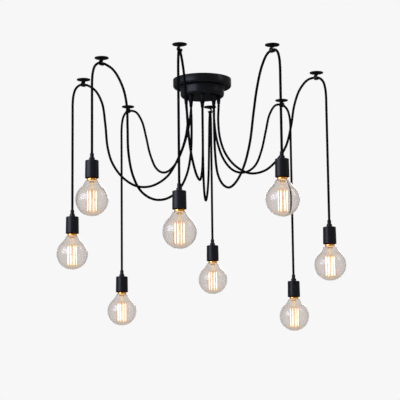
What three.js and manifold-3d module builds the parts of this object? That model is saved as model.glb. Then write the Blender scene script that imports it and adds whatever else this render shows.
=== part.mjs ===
// Spider pendant light. A two-tier canopy on the ceiling feeds eight cords. Each cord sags to a hook in the
// ceiling, bends over it and hangs straight down to a lamp socket with a round filament bulb.
// Millimetres, +Z up. The origin is the middle of the bracket's top face, in the plane of the ceiling.

import * as THREE from "three";
import { mergeVertices } from "three/addons/utils/BufferGeometryUtils.js";
import Module from "manifold-3d";

const wasm = await Module();
wasm.setup();

// Clearances
const seatGap = 0.3; // between two pieces that touch
const hingeGap = 0.95; // between the two stretches of a cord, where the drop swings
const cutOverrun = 1;

// Cord
const cordDiameter = 6.8;

// Canopy
const lowerTierDiameter = 135;
const lowerTierHeight = 30;
const lowerTierRound = 9;
const tierStep = 22.5; // how far the upper tier stands out all round
const upperTierHeight = 26;
const upperTierRound = 7;
const shoulderRound = 3;
const sheetThickness = 1.5;

// Ceiling bracket
const strapWidth = 20;
const strapThickness = 2;
const earThickness = 3;
const earLip = 1.5; // of the ear, under the hole for the screw
const bracketHoleDiameter = 5;
const bracketHoleSpacing = 70;
const locatingPinDiameter = 4;

// Screw that locks the canopy to the bracket
const screwDiameter = 4;
const screwHeadDiameter = 8;
const screwHeadLength = 3;
const screwHeightShare = 0.5; // of the upper tier's height
const screwTailLength = 2; // past the ear

// Terminal block
const blockLength = 40;
const blockWidth = 17;
const blockHeight = 16;
const blockPoles = 3;
const wireHoleDiameter = 4.5;

// Cord grips under the canopy
const gripEdgeRoom = 1; // between a grip's nut and the round of the lower tier
const gripLength = 20;
const gripMouthWall = 1.2;
const gripTailWall = 1.3;
const gripCollarStep = 1.5;
const gripCollarHeight = 4;
const gripNutWall = 2.8;
const gripNutHeight = 4;

// Ceiling hooks
const hookCircleRadius = 400;
const hookPlateDiameter = 41.6;
const hookPlateThickness = 2.6;
const hookPlateEdge = 1.2;
const hookBossDiameter = 11;
const hookBossHeight = 2.4;
const hookThroat = 7.5; // from the boss to the top of the cord
const hookRodDiameter = 3.4;
const hookEyeRoom = 1.1; // between the rod and the side of the cord
const hookTipLength = 2;

// Drops
const lowestBulbDepth = 708; // from the ceiling to the middle of the lowest bulb
const dropReach = 44; // how far a wide arch carries a drop past its hook
const pivotDepth = 100; // where the arch ends and the straight drop starts

// Bulb cap, an E27 screw
const capThreadDiameter = 26.2;
const capThreadPlay = 0.4; // all round, in the socket's bore
const capSkirtStep = 1.9; // how far the skirt stands out from the thread
const capSkirtHeight = 3.5;
const capShow = 7; // how far the cap shows under the socket's rim
const capTaper = 2.5;
const capDepth = 20; // from the rim up to the tip of the contact
const capShoulder = 6; // height of the insulated cone under the contact
const capContactDiameter = 9;
const capSpigotLength = 3; // inside the glass neck

// Lamp sockets
const socketMouthRoom = 1.8; // round the cap's skirt
const socketMouthWall = 3.2;
const socketMouthDepth = 4;
const socketTaper = 0.75; // how far the top is drawn in from the rim
const socketHeight = 51;
const socketTopRound = 5;
const upperCollarWall = 2.35;
const upperCollarHeight = 13;
const lowerCollarStep = 2.5;
const lowerCollarHeight = 8;

// Bulb glass
const globeDiameter = 95;
const glassThickness = 1;
const neckFlare = 2.5; // how far the neck stands out from the cap's skirt
const neckShoulder = 6.5;
const neckLength = 4.5;

// Bulb stem and filament
const stemDiameter = 8;
const stemLength = 14;
const rodDiameter = 3;
const buttonDiameter = 5;
const buttonLength = 5;
const filamentWidth = 1.1;
const filamentNeckRoom = 3.5; // between the filament and the inside of the neck that it went in through
const filamentEndRoom = 21; // between the filament and the bottom of the glass
const filamentLimbs = 4;

// Facets
const cordSides = 8;
const sagStep = 3 * cordDiameter; // between two rings of the sagging stretch and of the drop
const archStep = 2 * cordDiameter; // between two rings of the arch past the hook
const canopyFacets = 32;
const gripFacets = 8;
const plateFacets = 12;
const rodSides = 6;
const stemSteps = 3;
const eyeSteps = 6;
const socketFacets = 12;
const capFacets = 8;
const globeFacets = 12;
const holeFacets = 8;
const roundSteps = 2;
const globeRings = 6;
const curveDivisions = 100; // between two points of a cord, for measuring along it

// The arch past a hook, as shares of the drop's reach and of the depth from the hook's cord to the pivot
const archShares = [
  [0.38, 0.04],
  [0.72, 0.17],
  [0.93, 0.43],
  [1, 0.76],
];

// The eight arms, counted round from the one on the right. Bearings are in degrees from +X. turn is how far
// the hook's eye is turned from square to its cord. route is the sagging cord between its grip and its hook,
// chosen by hand: distance out along the arm from the grip, and height.
const arms = [
  {
    gripBearing: 0, hookBearing: 347.5, hookShare: 0.89, reachShare: 0.64, bulbShare: 0.833, turn: -22,
    route: [[-2, -130], [3, -185], [20, -235], [52, -276], [96, -300], [142, -294], [180, -264], [208, -224],
      [226, -160], [237, -98], [255, -50], [281, -21]],
  },
  {
    gripBearing: 45, hookBearing: 48, hookShare: 0.975, reachShare: 1, bulbShare: 1, turn: 0,
    route: [[1, -120], [12, -180], [40, -234], [80, -264], [122, -270], [166, -259], [203, -232], [232, -182],
      [255, -116], [275, -60], [306, -24]],
  },
  {
    gripBearing: 90, hookBearing: 86, hookShare: 0.945, reachShare: 0.8, bulbShare: 0.815, turn: 0,
    route: [[0, -150], [2, -235], [14, -300], [42, -342], [82, -356], [126, -345], [175, -312], [222, -255],
      [250, -185], [270, -115], [294, -50]],
  },
  {
    gripBearing: 135, hookBearing: 124.5, hookShare: 1.09, reachShare: 1, bulbShare: 0.959, turn: 0,
    route: [[5, -108], [17, -145], [44, -192], [84, -236], [127, -257], [170, -258], [212, -236], [248, -184],
      [271, -126], [296, -70], [335, -30]],
  },
  {
    gripBearing: 180, hookBearing: 183.5, hookShare: 0.915, reachShare: 0.75, bulbShare: 0.765, turn: 22,
    route: [[-4, -130], [3, -182], [22, -238], [60, -303], [108, -333], [152, -334], [194, -309], [227, -264],
      [242, -214], [249, -143], [260, -72], [284, -31]],
  },
  {
    gripBearing: 225, hookBearing: 224, hookShare: 1.015, reachShare: 0.82, bulbShare: 0.596, turn: 0,
    route: [[-2, -150], [2, -235], [20, -306], [54, -357], [104, -389], [158, -396], [206, -377], [237, -334],
      [254, -268], [257, -195], [260, -127], [276, -74], [312, -29]],
  },
  {
    gripBearing: 270, hookBearing: 261.5, hookShare: 1.07, reachShare: 0.57, bulbShare: 0.758, turn: 0,
    route: [[0, -150], [3, -235], [20, -300], [56, -332], [110, -331], [168, -308], [222, -268], [258, -212],
      [280, -145], [304, -85], [338, -42]],
  },
  {
    gripBearing: 315, hookBearing: 296, hookShare: 1.13, reachShare: 1.05, bulbShare: 0.636, turn: 22,
    route: [[-1, -150], [4, -240], [20, -304], [54, -342], [104, -361], [158, -349], [210, -311], [250, -250],
      [276, -172], [302, -102], [334, -49], [370, -20]],
  },
];

// Sizes that follow from the ones above

const cordRadius = cordDiameter / 2;

const lowerTierRadius = lowerTierDiameter / 2;
const upperTierRadius = lowerTierRadius + tierStep;
const canopyDepth = upperTierHeight + lowerTierHeight;
const canopyInside = (upperTierRadius - sheetThickness) * Math.cos(Math.PI / canopyFacets);
const strapHalf = Math.sqrt((canopyInside - seatGap) ** 2 - (strapWidth / 2) ** 2);
const screwDepth = upperTierHeight * screwHeightShare;
const earHeight = screwDepth + screwDiameter / 2 + seatGap + earLip;

const gripTailRadius = cordRadius + gripTailWall;
const gripNutRadius = gripTailRadius + gripNutWall;
const gripCircleRadius = lowerTierRadius - lowerTierRound - gripEdgeRoom - gripNutRadius;
const mouthDepth = canopyDepth + seatGap + gripLength;

const rodRadius = hookRodDiameter / 2;
const bossDepth = hookPlateThickness + hookBossHeight;
const hookCordDepth = bossDepth + hookThroat + cordRadius;
const eyeRadius = cordRadius + hookEyeRoom + rodRadius;
const eyeDepth = hookCordDepth + cordRadius + seatGap + rodRadius - eyeRadius;
const dropTop = -pivotDepth - hingeGap / 2;

const capThreadRadius = capThreadDiameter / 2;
const capSkirtRadius = capThreadRadius + capSkirtStep;
const socketMouthRadius = capSkirtRadius + socketMouthRoom;
const socketRimRadius = socketMouthRadius + socketMouthWall;
const upperCollarRadius = cordRadius + upperCollarWall;
const lowerCollarRadius = upperCollarRadius + lowerCollarStep;
const socketTop = socketHeight + lowerCollarHeight + upperCollarHeight;

const globeRadius = globeDiameter / 2;
const neckRadius = capSkirtRadius + neckFlare;
const neckTop = -capShow - seatGap;
const neckBottom = neckTop - neckShoulder - neckLength;
const bulbDrop = Math.sqrt(globeRadius ** 2 - neckRadius ** 2) - neckBottom; // from rim to globe's middle
const filamentReach = neckRadius - glassThickness - filamentNeckRoom;
const filamentTop = -capShow - capSpigotLength - stemLength - filamentWidth;
const filamentBottom = glassThickness + filamentEndRoom - bulbDrop - globeRadius;

const light = new THREE.Group();
const upward = new THREE.Vector3(0, 0, 1);

// Materials
const paint = { color: 0x17171b, roughness: 0.42, metalness: 0.5 };
const blackPlastic = { color: 0x1a1a1d, roughness: 0.5, metalness: 0 };
const cordCloth = { color: 0x0d0d0f, roughness: 0.9, metalness: 0 };
const zinc = { color: 0xb9bcc0, roughness: 0.35, metalness: 1 };
const whitePlastic = { color: 0xe8e4d8, roughness: 0.6, metalness: 0 };
const brass = { color: 0xc8913a, roughness: 0.3, metalness: 1 };
const glass = { color: 0xd9d2cf, roughness: 0.05, metalness: 0, transparent: true, opacity: 0.35 };

function addPiece(name, geometry, material, parent = light) {
  const piece = new THREE.Mesh(geometry, new THREE.MeshStandardMaterial(material));
  piece.name = name;
  parent.add(piece);
  return piece;
}

// Joining and cutting of closed shapes

function toSolid(geometry) {
  const bare = geometry.clone();
  bare.deleteAttribute("normal");
  bare.deleteAttribute("uv");
  const merged = mergeVertices(bare);
  const vertProperties = merged.getAttribute("position").array;
  const triVerts = new Uint32Array(merged.index.array);
  return new wasm.Manifold(new wasm.Mesh({ numProp: 3, vertProperties, triVerts }));
}

function toGeometry(solid) {
  const mesh = solid.getMesh();
  const geometry = new THREE.BufferGeometry();
  geometry.setAttribute("position", new THREE.BufferAttribute(new Float32Array(mesh.vertProperties), 3));
  geometry.setIndex(new THREE.BufferAttribute(new Uint32Array(mesh.triVerts), 1));
  const flat = geometry.toNonIndexed();
  flat.computeVertexNormals();
  return flat;
}

// Outlines and turned shapes

// The outline through corners [radius, height, rounding], each corner with a rounding drawn as an arc.
function rounded(corners) {
  const outline = [];
  corners.forEach(([x, y, round = 0], index) => {
    const corner = new THREE.Vector2(x, y);
    if (!round) {
      outline.push(corner);
      return;
    }
    const before = new THREE.Vector2(...corners[index - 1]).sub(corner).normalize();
    const after = new THREE.Vector2(...corners[index + 1]).sub(corner).normalize();
    const halfAngle = Math.acos(before.dot(after)) / 2;
    const inward = before.clone().add(after).normalize();
    const middle = inward.multiplyScalar(round / Math.sin(halfAngle)).add(corner);
    const first = before.multiplyScalar(round / Math.tan(halfAngle)).add(corner).sub(middle);
    const last = after.multiplyScalar(round / Math.tan(halfAngle)).add(corner).sub(middle);
    let sweep = last.angle() - first.angle();
    if (sweep > Math.PI) sweep -= 2 * Math.PI;
    if (sweep < -Math.PI) sweep += 2 * Math.PI;
    for (let step = 0; step <= roundSteps; step++) {
      const point = first.clone().rotateAround(new THREE.Vector2(), (sweep * step) / roundSteps);
      outline.push(point.add(middle));
    }
  });
  return outline;
}

// A body turned about the Z axis. The outline runs from the axis at the bottom, out, up and back to the axis.
function turned(outline, facets) {
  const points = outline.map((point) => (point.isVector2 ? point : new THREE.Vector2(...point)));
  return new THREE.LatheGeometry(points, facets).rotateX(Math.PI / 2);
}

function box(width, depth, height, x, y, z) {
  return new THREE.BoxGeometry(width, depth, height).translate(x, y, z);
}

function uprightCylinder(diameter, bottom, top, x, y) {
  const cylinder = new THREE.CylinderGeometry(diameter / 2, diameter / 2, top - bottom, holeFacets);
  return cylinder.rotateX(Math.PI / 2).translate(x, y, (top + bottom) / 2);
}

// A cylinder along Y from one place to the other
function levelCylinder(diameter, from, to, height) {
  const cylinder = new THREE.CylinderGeometry(diameter / 2, diameter / 2, to - from, holeFacets);
  return cylinder.translate(0, (from + to) / 2, height);
}

// Cords and rods

// A path with a ring on each of its stations
class StationPath extends THREE.Curve {
  constructor(stations) {
    super();
    this.stations = stations;
  }
  getPoint(share, target = new THREE.Vector3()) {
    const place = share * (this.stations.length - 1);
    const index = Math.min(Math.floor(place), this.stations.length - 2);
    return target.lerpVectors(this.stations[index], this.stations[index + 1], place - index);
  }
  getUtoTmapping(share) {
    return share;
  }
}

function tubeAlong(stations, radius, sides) {
  const section = new THREE.Shape();
  for (let side = 0; side < sides; side++) {
    const angle = (2 * Math.PI * side) / sides;
    const x = radius * Math.cos(angle);
    const y = radius * Math.sin(angle);
    if (side) section.lineTo(x, y);
    else section.moveTo(x, y);
  }
  section.closePath();
  const steps = stations.length - 1;
  const extrudePath = new StationPath(stations);
  return new THREE.ExtrudeGeometry(section, { steps, extrudePath, bevelEnabled: false });
}

// Evenly spaced stations on the stretch of a curve between two shares of its length
function stretch(curve, from, to, step) {
  const count = Math.max(1, Math.round(((to - from) * curve.getLength()) / step));
  const stations = [];
  for (let index = 0; index <= count; index++) {
    stations.push(curve.getPointAt(from + ((to - from) * index) / count));
  }
  return stations;
}

// Where everything on one arm is
function layOut(arm) {
  const grip = atBearing(gripCircleRadius, arm.gripBearing);
  const hook = atBearing(hookCircleRadius * arm.hookShare, arm.hookBearing);
  const span = hook.distanceTo(grip);
  const outward = hook.clone().sub(grip).normalize();
  const reach = dropReach * arm.reachShare;
  const place = (along, height) => grip.clone().addScaledVector(outward, along).setZ(height);
  return { grip, hook, span, outward, reach, place, rim: bulbDrop - lowestBulbDepth * arm.bulbShare };
}

function atBearing(radius, bearing) {
  return new THREE.Vector3(radius, 0, 0).applyAxisAngle(upward, THREE.MathUtils.degToRad(bearing));
}

// The cord from its grip over its hook to the top of the drop, and the drop down to the socket

function swagStations({ span, reach, place }, route) {
  const start = place(0, -mouthDepth - seatGap);
  const bend = place(0, -mouthDepth - seatGap - cordDiameter);
  const overHook = place(span, -hookCordDepth);
  const end = place(span + reach, dropTop + hingeGap);
  const sag = [bend, ...route.map(([along, height]) => place(along, height)), overHook];
  const fall = pivotDepth - hookCordDepth;
  const arch = archShares.map(([out, down]) => place(span + reach * out, -hookCordDepth - fall * down));
  const points = [start, ...sag, ...arch, end];
  const curve = new THREE.CatmullRomCurve3(points, false, "centripetal");
  curve.arcLengthDivisions = curveDivisions * (points.length - 1);
  const length = curve.getLength();
  const bendShare = shareAt(curve, 1);
  const hookShare = shareAt(curve, sag.length);
  const saddle = hookRodDiameter / length;
  return [
    start,
    ...stretch(curve, bendShare, hookShare - saddle, sagStep),
    curve.getPointAt(hookShare),
    ...stretch(curve, hookShare + saddle, 1, archStep),
  ];
}

// The share of a curve's length that lies before one of its points
function shareAt(curve, index) {
  const lengths = curve.getLengths();
  return lengths[index * curveDivisions] / lengths[lengths.length - 1];
}

function makeCords(number, layout, route) {
  addPiece("swag_cord_" + number, tubeAlong(swagStations(layout, route), cordRadius, cordSides), cordCloth);
  const { span, reach, place, rim } = layout;
  const top = place(span + reach, dropTop);
  const bottom = place(span + reach, rim + socketTop + seatGap);
  const drop = stretch(new THREE.LineCurve3(top, bottom), 0, 1, sagStep);
  addPiece("drop_cord_" + number, tubeAlong(drop, cordRadius, cordSides), cordCloth);
}

// Canopy parts

function makeCanopy() {
  const outer = upperTierRadius;
  const lower = lowerTierRadius;
  const sheet = sheetThickness;
  const outline = rounded([
    [0, -canopyDepth],
    [lower, -canopyDepth, lowerTierRound],
    [lower, -upperTierHeight, shoulderRound],
    [outer, -upperTierHeight, upperTierRound],
    [outer, 0],
    [outer - sheet, 0],
    [outer - sheet, sheet - upperTierHeight, upperTierRound - sheet],
    [lower - sheet, sheet - upperTierHeight, shoulderRound + sheet],
    [lower - sheet, sheet - canopyDepth, lowerTierRound - sheet],
    [0, sheet - canopyDepth],
  ]);
  let shell = toSolid(turned(outline, canopyFacets));
  for (const arm of arms) {
    const { grip } = layOut(arm);
    const diameter = 2 * (gripTailRadius + seatGap);
    const bottom = -canopyDepth - cutOverrun;
    const top = sheet - canopyDepth + cutOverrun;
    shell = shell.subtract(toSolid(uprightCylinder(diameter, bottom, top, grip.x, grip.y)));
  }
  const wall = outer - sheet - cutOverrun;
  const screwHole = levelCylinder(screwDiameter + 2 * seatGap, wall, outer + cutOverrun, -screwDepth);
  const pinHole = levelCylinder(locatingPinDiameter + 2 * seatGap, -outer - cutOverrun, -wall, -screwDepth);
  shell = shell.subtract(toSolid(screwHole)).subtract(toSolid(pinHole));
  addPiece("canopy_shell", toGeometry(shell), paint);
}

function makeBracket() {
  let bracket = toSolid(box(strapWidth, 2 * strapHalf, strapThickness, 0, 0, -strapThickness / 2));
  for (const side of [-1, 1]) {
    const earPlace = side * (strapHalf - earThickness / 2);
    bracket = bracket.add(toSolid(box(strapWidth, earThickness, earHeight, 0, earPlace, -earHeight / 2)));
    const place = (side * bracketHoleSpacing) / 2;
    const hole = uprightCylinder(bracketHoleDiameter, -strapThickness - cutOverrun, cutOverrun, 0, place);
    bracket = bracket.subtract(toSolid(hole));
  }
  const holeStart = strapHalf - earThickness - cutOverrun;
  const screwHole = levelCylinder(screwDiameter + 2 * seatGap, holeStart, strapHalf + cutOverrun, -screwDepth);
  const pin = levelCylinder(locatingPinDiameter, -upperTierRadius, earThickness / 2 - strapHalf, -screwDepth);
  bracket = bracket.subtract(toSolid(screwHole)).add(toSolid(pin));
  addPiece("ceiling_bracket", toGeometry(bracket), zinc);
}

function makeScrew() {
  const shank = screwDiameter / 2;
  const head = screwHeadDiameter / 2;
  const seat = upperTierRadius + seatGap;
  const tip = strapHalf - earThickness - screwTailLength;
  const screw = turned([
    [0, tip],
    [shank, tip],
    [shank, seat],
    [head, seat],
    [head, seat + screwHeadLength],
    [0, seat + screwHeadLength],
  ], holeFacets);
  addPiece("canopy_screw", screw.rotateX(-Math.PI / 2).translate(0, 0, -screwDepth), paint);
}

function makeTerminalBlock() {
  const middle = -strapThickness - seatGap - blockHeight / 2;
  let block = toSolid(box(blockLength, blockWidth, blockHeight, 0, 0, middle));
  for (let pole = 0; pole < blockPoles; pole++) {
    const along = (blockLength * (pole + 0.5)) / blockPoles - blockLength / 2;
    const reach = blockWidth / 2 + cutOverrun;
    const wireHole = levelCylinder(wireHoleDiameter, -reach, reach, middle).translate(along, 0, 0);
    block = block.subtract(toSolid(wireHole));
  }
  addPiece("terminal_block", toGeometry(block), whitePlastic);
}

// A grip with its nut inside the canopy
function makeCordGrip(number, { grip }) {
  const seat = -canopyDepth - seatGap;
  const nutSeat = sheetThickness - canopyDepth + seatGap;
  const collar = gripTailRadius + gripCollarStep;
  const outline = [
    [0, -mouthDepth],
    [cordRadius + gripMouthWall, -mouthDepth],
    [collar, seat - gripCollarHeight],
    [collar, seat],
    [gripTailRadius, seat],
    [gripTailRadius, nutSeat],
    [gripNutRadius, nutSeat],
    [gripNutRadius, nutSeat + gripNutHeight],
    [0, nutSeat + gripNutHeight],
  ];
  addPiece("cord_grip_" + number, turned(outline, gripFacets), blackPlastic).position.copy(grip);
}

// Ceiling hook: a round plate on the ceiling and a bent rod whose eye the cord lies in

function makeHook(number, { hook, outward }, turn) {
  const plate = hookPlateDiameter / 2;
  const boss = hookBossDiameter / 2;
  const base = turned([
    [0, -bossDepth],
    [boss - hookPlateEdge, -bossDepth],
    [boss, -hookPlateThickness],
    [plate, -hookPlateEdge],
    [plate, 0],
    [0, 0],
  ], plateFacets);
  const rod = tubeAlong(hookStations(), rodRadius, rodSides);
  const piece = addPiece("ceiling_hook_" + number, toGeometry(toSolid(base).add(toSolid(rod))), paint);
  piece.position.copy(hook);
  piece.rotation.z = Math.atan2(outward.y, outward.x) + Math.PI / 2 + THREE.MathUtils.degToRad(turn);
}

// The rod leaves the boss, swings to one side and runs round under the cord, in the piece's own XZ plane.
function hookStations() {
  const start = new THREE.Vector3(0, 0, rodRadius - bossDepth);
  const side = new THREE.Vector3(-eyeRadius, 0, -eyeDepth);
  const straightDown = new THREE.Vector3(0, 0, (side.z + start.z) / 2);
  const stem = new THREE.CubicBezierCurve3(start, straightDown, straightDown.clone().setX(-eyeRadius), side);
  const stations = stem.getPoints(stemSteps);
  for (let step = 1; step <= eyeSteps; step++) {
    const angle = (Math.PI * step) / eyeSteps;
    const height = -eyeDepth - eyeRadius * Math.sin(angle);
    stations.push(new THREE.Vector3(-eyeRadius * Math.cos(angle), 0, height));
  }
  stations.push(new THREE.Vector3(eyeRadius, 0, hookTipLength - eyeDepth));
  return stations;
}

// Socket, with the collars that grip its cord and the bore that the bulb's cap screws into

function makeSocket(number, group) {
  const bore = (capThreadRadius + capThreadPlay) / Math.cos(Math.PI / socketFacets);
  const outline = rounded([
    [0, capDepth + seatGap],
    [bore, capDepth + seatGap],
    [bore, socketMouthDepth],
    [socketMouthRadius, socketMouthDepth],
    [socketMouthRadius, 0],
    [socketRimRadius, 0],
    [socketRimRadius - socketTaper, socketHeight, socketTopRound],
    [lowerCollarRadius, socketHeight],
    [lowerCollarRadius, socketHeight + lowerCollarHeight],
    [upperCollarRadius, socketHeight + lowerCollarHeight],
    [upperCollarRadius, socketTop],
    [0, socketTop],
  ]);
  addPiece("lamp_socket_" + number, turned(outline, socketFacets), blackPlastic, group);
}

// Bulb: the cap with its stem and filament, and the glass

function makeBulbBase(number, group) {
  const spigot = (capSkirtRadius - glassThickness) * Math.cos(Math.PI / globeFacets) - seatGap;
  const skirtTop = capSkirtHeight - capShow;
  const spigotEnd = -capShow - capSpigotLength;
  const stemEnd = spigotEnd - stemLength;
  const button = buttonDiameter / 2;
  const buttonEnd = filamentBottom - filamentWidth;
  const core = turned([
    [0, buttonEnd],
    [button, buttonEnd],
    [button, buttonEnd + buttonLength],
    [rodDiameter / 2, buttonEnd + buttonLength],
    [rodDiameter / 2, stemEnd],
    [stemDiameter / 2, stemEnd],
    [stemDiameter / 2, spigotEnd],
    [spigot, spigotEnd],
    [spigot, -capShow],
    [capSkirtRadius, -capShow],
    [capSkirtRadius, skirtTop],
    [capThreadRadius, skirtTop + capTaper],
    [capThreadRadius, capDepth - capShoulder],
    [capContactDiameter / 2, capDepth],
    [0, capDepth],
  ], capFacets);
  let base = toSolid(core);
  for (let limb = 0; limb < filamentLimbs; limb++) {
    base = base.add(toSolid(filamentLimb().rotateZ((2 * Math.PI * limb) / filamentLimbs)));
  }
  addPiece("bulb_base_" + number, toGeometry(base), brass, group);
}

// One upright limb of the filament, with the two support wires that carry it from the stem's rod
function filamentLimb() {
  const wire = filamentWidth;
  const inner = rodDiameter / 4;
  const outline = new THREE.Shape([
    new THREE.Vector2(inner, filamentBottom),
    new THREE.Vector2(filamentReach, filamentBottom),
    new THREE.Vector2(filamentReach, filamentTop),
    new THREE.Vector2(inner, filamentTop),
    new THREE.Vector2(inner, filamentTop - wire),
    new THREE.Vector2(filamentReach - wire, filamentTop - wire),
    new THREE.Vector2(filamentReach - wire, filamentBottom + wire),
    new THREE.Vector2(inner, filamentBottom + wire),
  ]);
  const limb = new THREE.ExtrudeGeometry(outline, { depth: wire, bevelEnabled: false });
  return limb.translate(0, 0, -wire / 2).rotateX(Math.PI / 2);
}

// The glass from the bottom of the globe up to the top of the neck, drawn in from the outside by an amount
function glassOutline(inset) {
  const ball = globeRadius - inset;
  const neck = neckRadius - inset;
  const sweep = Math.PI - Math.asin(neck / ball);
  const points = [[0, -bulbDrop - ball]];
  for (let ring = 1; ring <= globeRings; ring++) {
    const angle = (sweep * ring) / globeRings;
    points.push([ball * Math.sin(angle), -bulbDrop - ball * Math.cos(angle)]);
  }
  points.push([neck, neckBottom + neckLength]);
  points.push([capSkirtRadius - inset, neckTop]);
  return points;
}

function makeBulbGlobe(number, group) {
  const outline = [...glassOutline(0), ...glassOutline(glassThickness).reverse()];
  addPiece("bulb_globe_" + number, turned(outline, globeFacets), glass, group);
}

makeCanopy();
makeBracket();
makeScrew();
makeTerminalBlock();
arms.forEach((arm, index) => {
  const number = index + 1;
  const layout = layOut(arm);
  makeCordGrip(number, layout);
  makeHook(number, layout, arm.turn);
  makeCords(number, layout, arm.route);
  const hanging = new THREE.Group();
  hanging.position.copy(layout.place(layout.span + layout.reach, layout.rim));
  light.add(hanging);
  makeSocket(number, hanging);
  makeBulbBase(number, hanging);
  makeBulbGlobe(number, hanging);
});

export default light;
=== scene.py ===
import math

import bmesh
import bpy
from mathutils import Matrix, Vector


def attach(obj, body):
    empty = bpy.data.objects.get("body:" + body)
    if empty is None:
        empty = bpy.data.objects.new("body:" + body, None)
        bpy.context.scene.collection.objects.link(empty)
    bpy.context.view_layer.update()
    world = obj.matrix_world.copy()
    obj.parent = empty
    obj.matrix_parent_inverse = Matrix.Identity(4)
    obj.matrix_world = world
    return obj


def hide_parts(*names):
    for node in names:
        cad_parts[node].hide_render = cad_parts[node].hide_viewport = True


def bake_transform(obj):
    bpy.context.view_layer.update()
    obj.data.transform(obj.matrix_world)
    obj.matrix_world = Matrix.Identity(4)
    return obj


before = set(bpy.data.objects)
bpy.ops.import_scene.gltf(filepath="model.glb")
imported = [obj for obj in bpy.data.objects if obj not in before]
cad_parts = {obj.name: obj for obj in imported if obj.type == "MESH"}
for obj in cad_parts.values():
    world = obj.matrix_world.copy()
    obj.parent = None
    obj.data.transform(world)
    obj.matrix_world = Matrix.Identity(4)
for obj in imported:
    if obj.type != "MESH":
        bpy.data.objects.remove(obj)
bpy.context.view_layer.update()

# %% [markdown]
# # A spider pendant light
# The light is a black two-tier canopy on the ceiling that feeds eight cloth-covered cords. Each cord sags to
# a hook in the ceiling, bends over it and hangs straight down to a socket with a round filament bulb. The
# measured model that was just loaded says where everything is. This lesson gives each part its real shape and
# finish: edges that are rounded, threads that are cut, glass that has a wall, cloth that is braided. Blender
# counts in metres, and the ceiling is the plane z = 0. The outlines of small parts are in millimetres.

MM = 0.001
CORD_RADIUS = 3.4 * MM
BRAID_RADIUS = CORD_RADIUS + 0.3 * MM
GRIP_CIRCLE = 50 * MM
MOUTH_DEPTH = 76.3 * MM
HOOK_CORD_DEPTH = 15.9 * MM
PIVOT_DEPTH = 100 * MM
DROP_REACH = 44 * MM
LOWEST_BULB = 708 * MM
HOOK_CIRCLE = 400 * MM
BULB_DROP = 62.457 * MM  # from the socket's rim to the middle of the globe
SOCKET_TOP = 72 * MM
CEILING = "ceiling_parts"
ARM_NUMBERS = range(1, 9)

# %% [markdown]
# ## The camera
# The photograph was taken from far away with a long lens, a little below the bulbs and looking slightly up. A
# long lens keeps the eight lamps nearly the same size. The camera comes first, because everything else is
# judged through it.

# %% Camera
CAMERA_PLACE = Vector((-0.01067, -4.47799, -1.10300))
CAMERA_PITCH = math.radians(9.2116)
CAMERA_ROLL = math.radians(-0.6325)
LENS_IN_PIXELS = 1485.58
PICTURE_WIDTH = 400

lens = bpy.data.cameras.new("camera")
lens.sensor_width = 36
lens.lens = LENS_IN_PIXELS * lens.sensor_width / PICTURE_WIDTH
lens.clip_start, lens.clip_end = 0.05, 60
camera = bpy.data.objects.new("camera", lens)
bpy.context.scene.collection.objects.link(camera)
forward = Vector((0, math.cos(CAMERA_PITCH), math.sin(CAMERA_PITCH)))
level_up = Vector((0, -math.sin(CAMERA_PITCH), math.cos(CAMERA_PITCH)))
level_right = Vector((1, 0, 0))
right = math.cos(CAMERA_ROLL) * level_right + math.sin(CAMERA_ROLL) * level_up
up = math.cos(CAMERA_ROLL) * level_up - math.sin(CAMERA_ROLL) * level_right
axes = Matrix((right, up, -forward)).transposed()
camera.matrix_world = Matrix.Translation(CAMERA_PLACE) @ axes.to_4x4()
bpy.context.scene.camera = camera
print("lens", round(lens.lens, 1), "mm")
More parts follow.
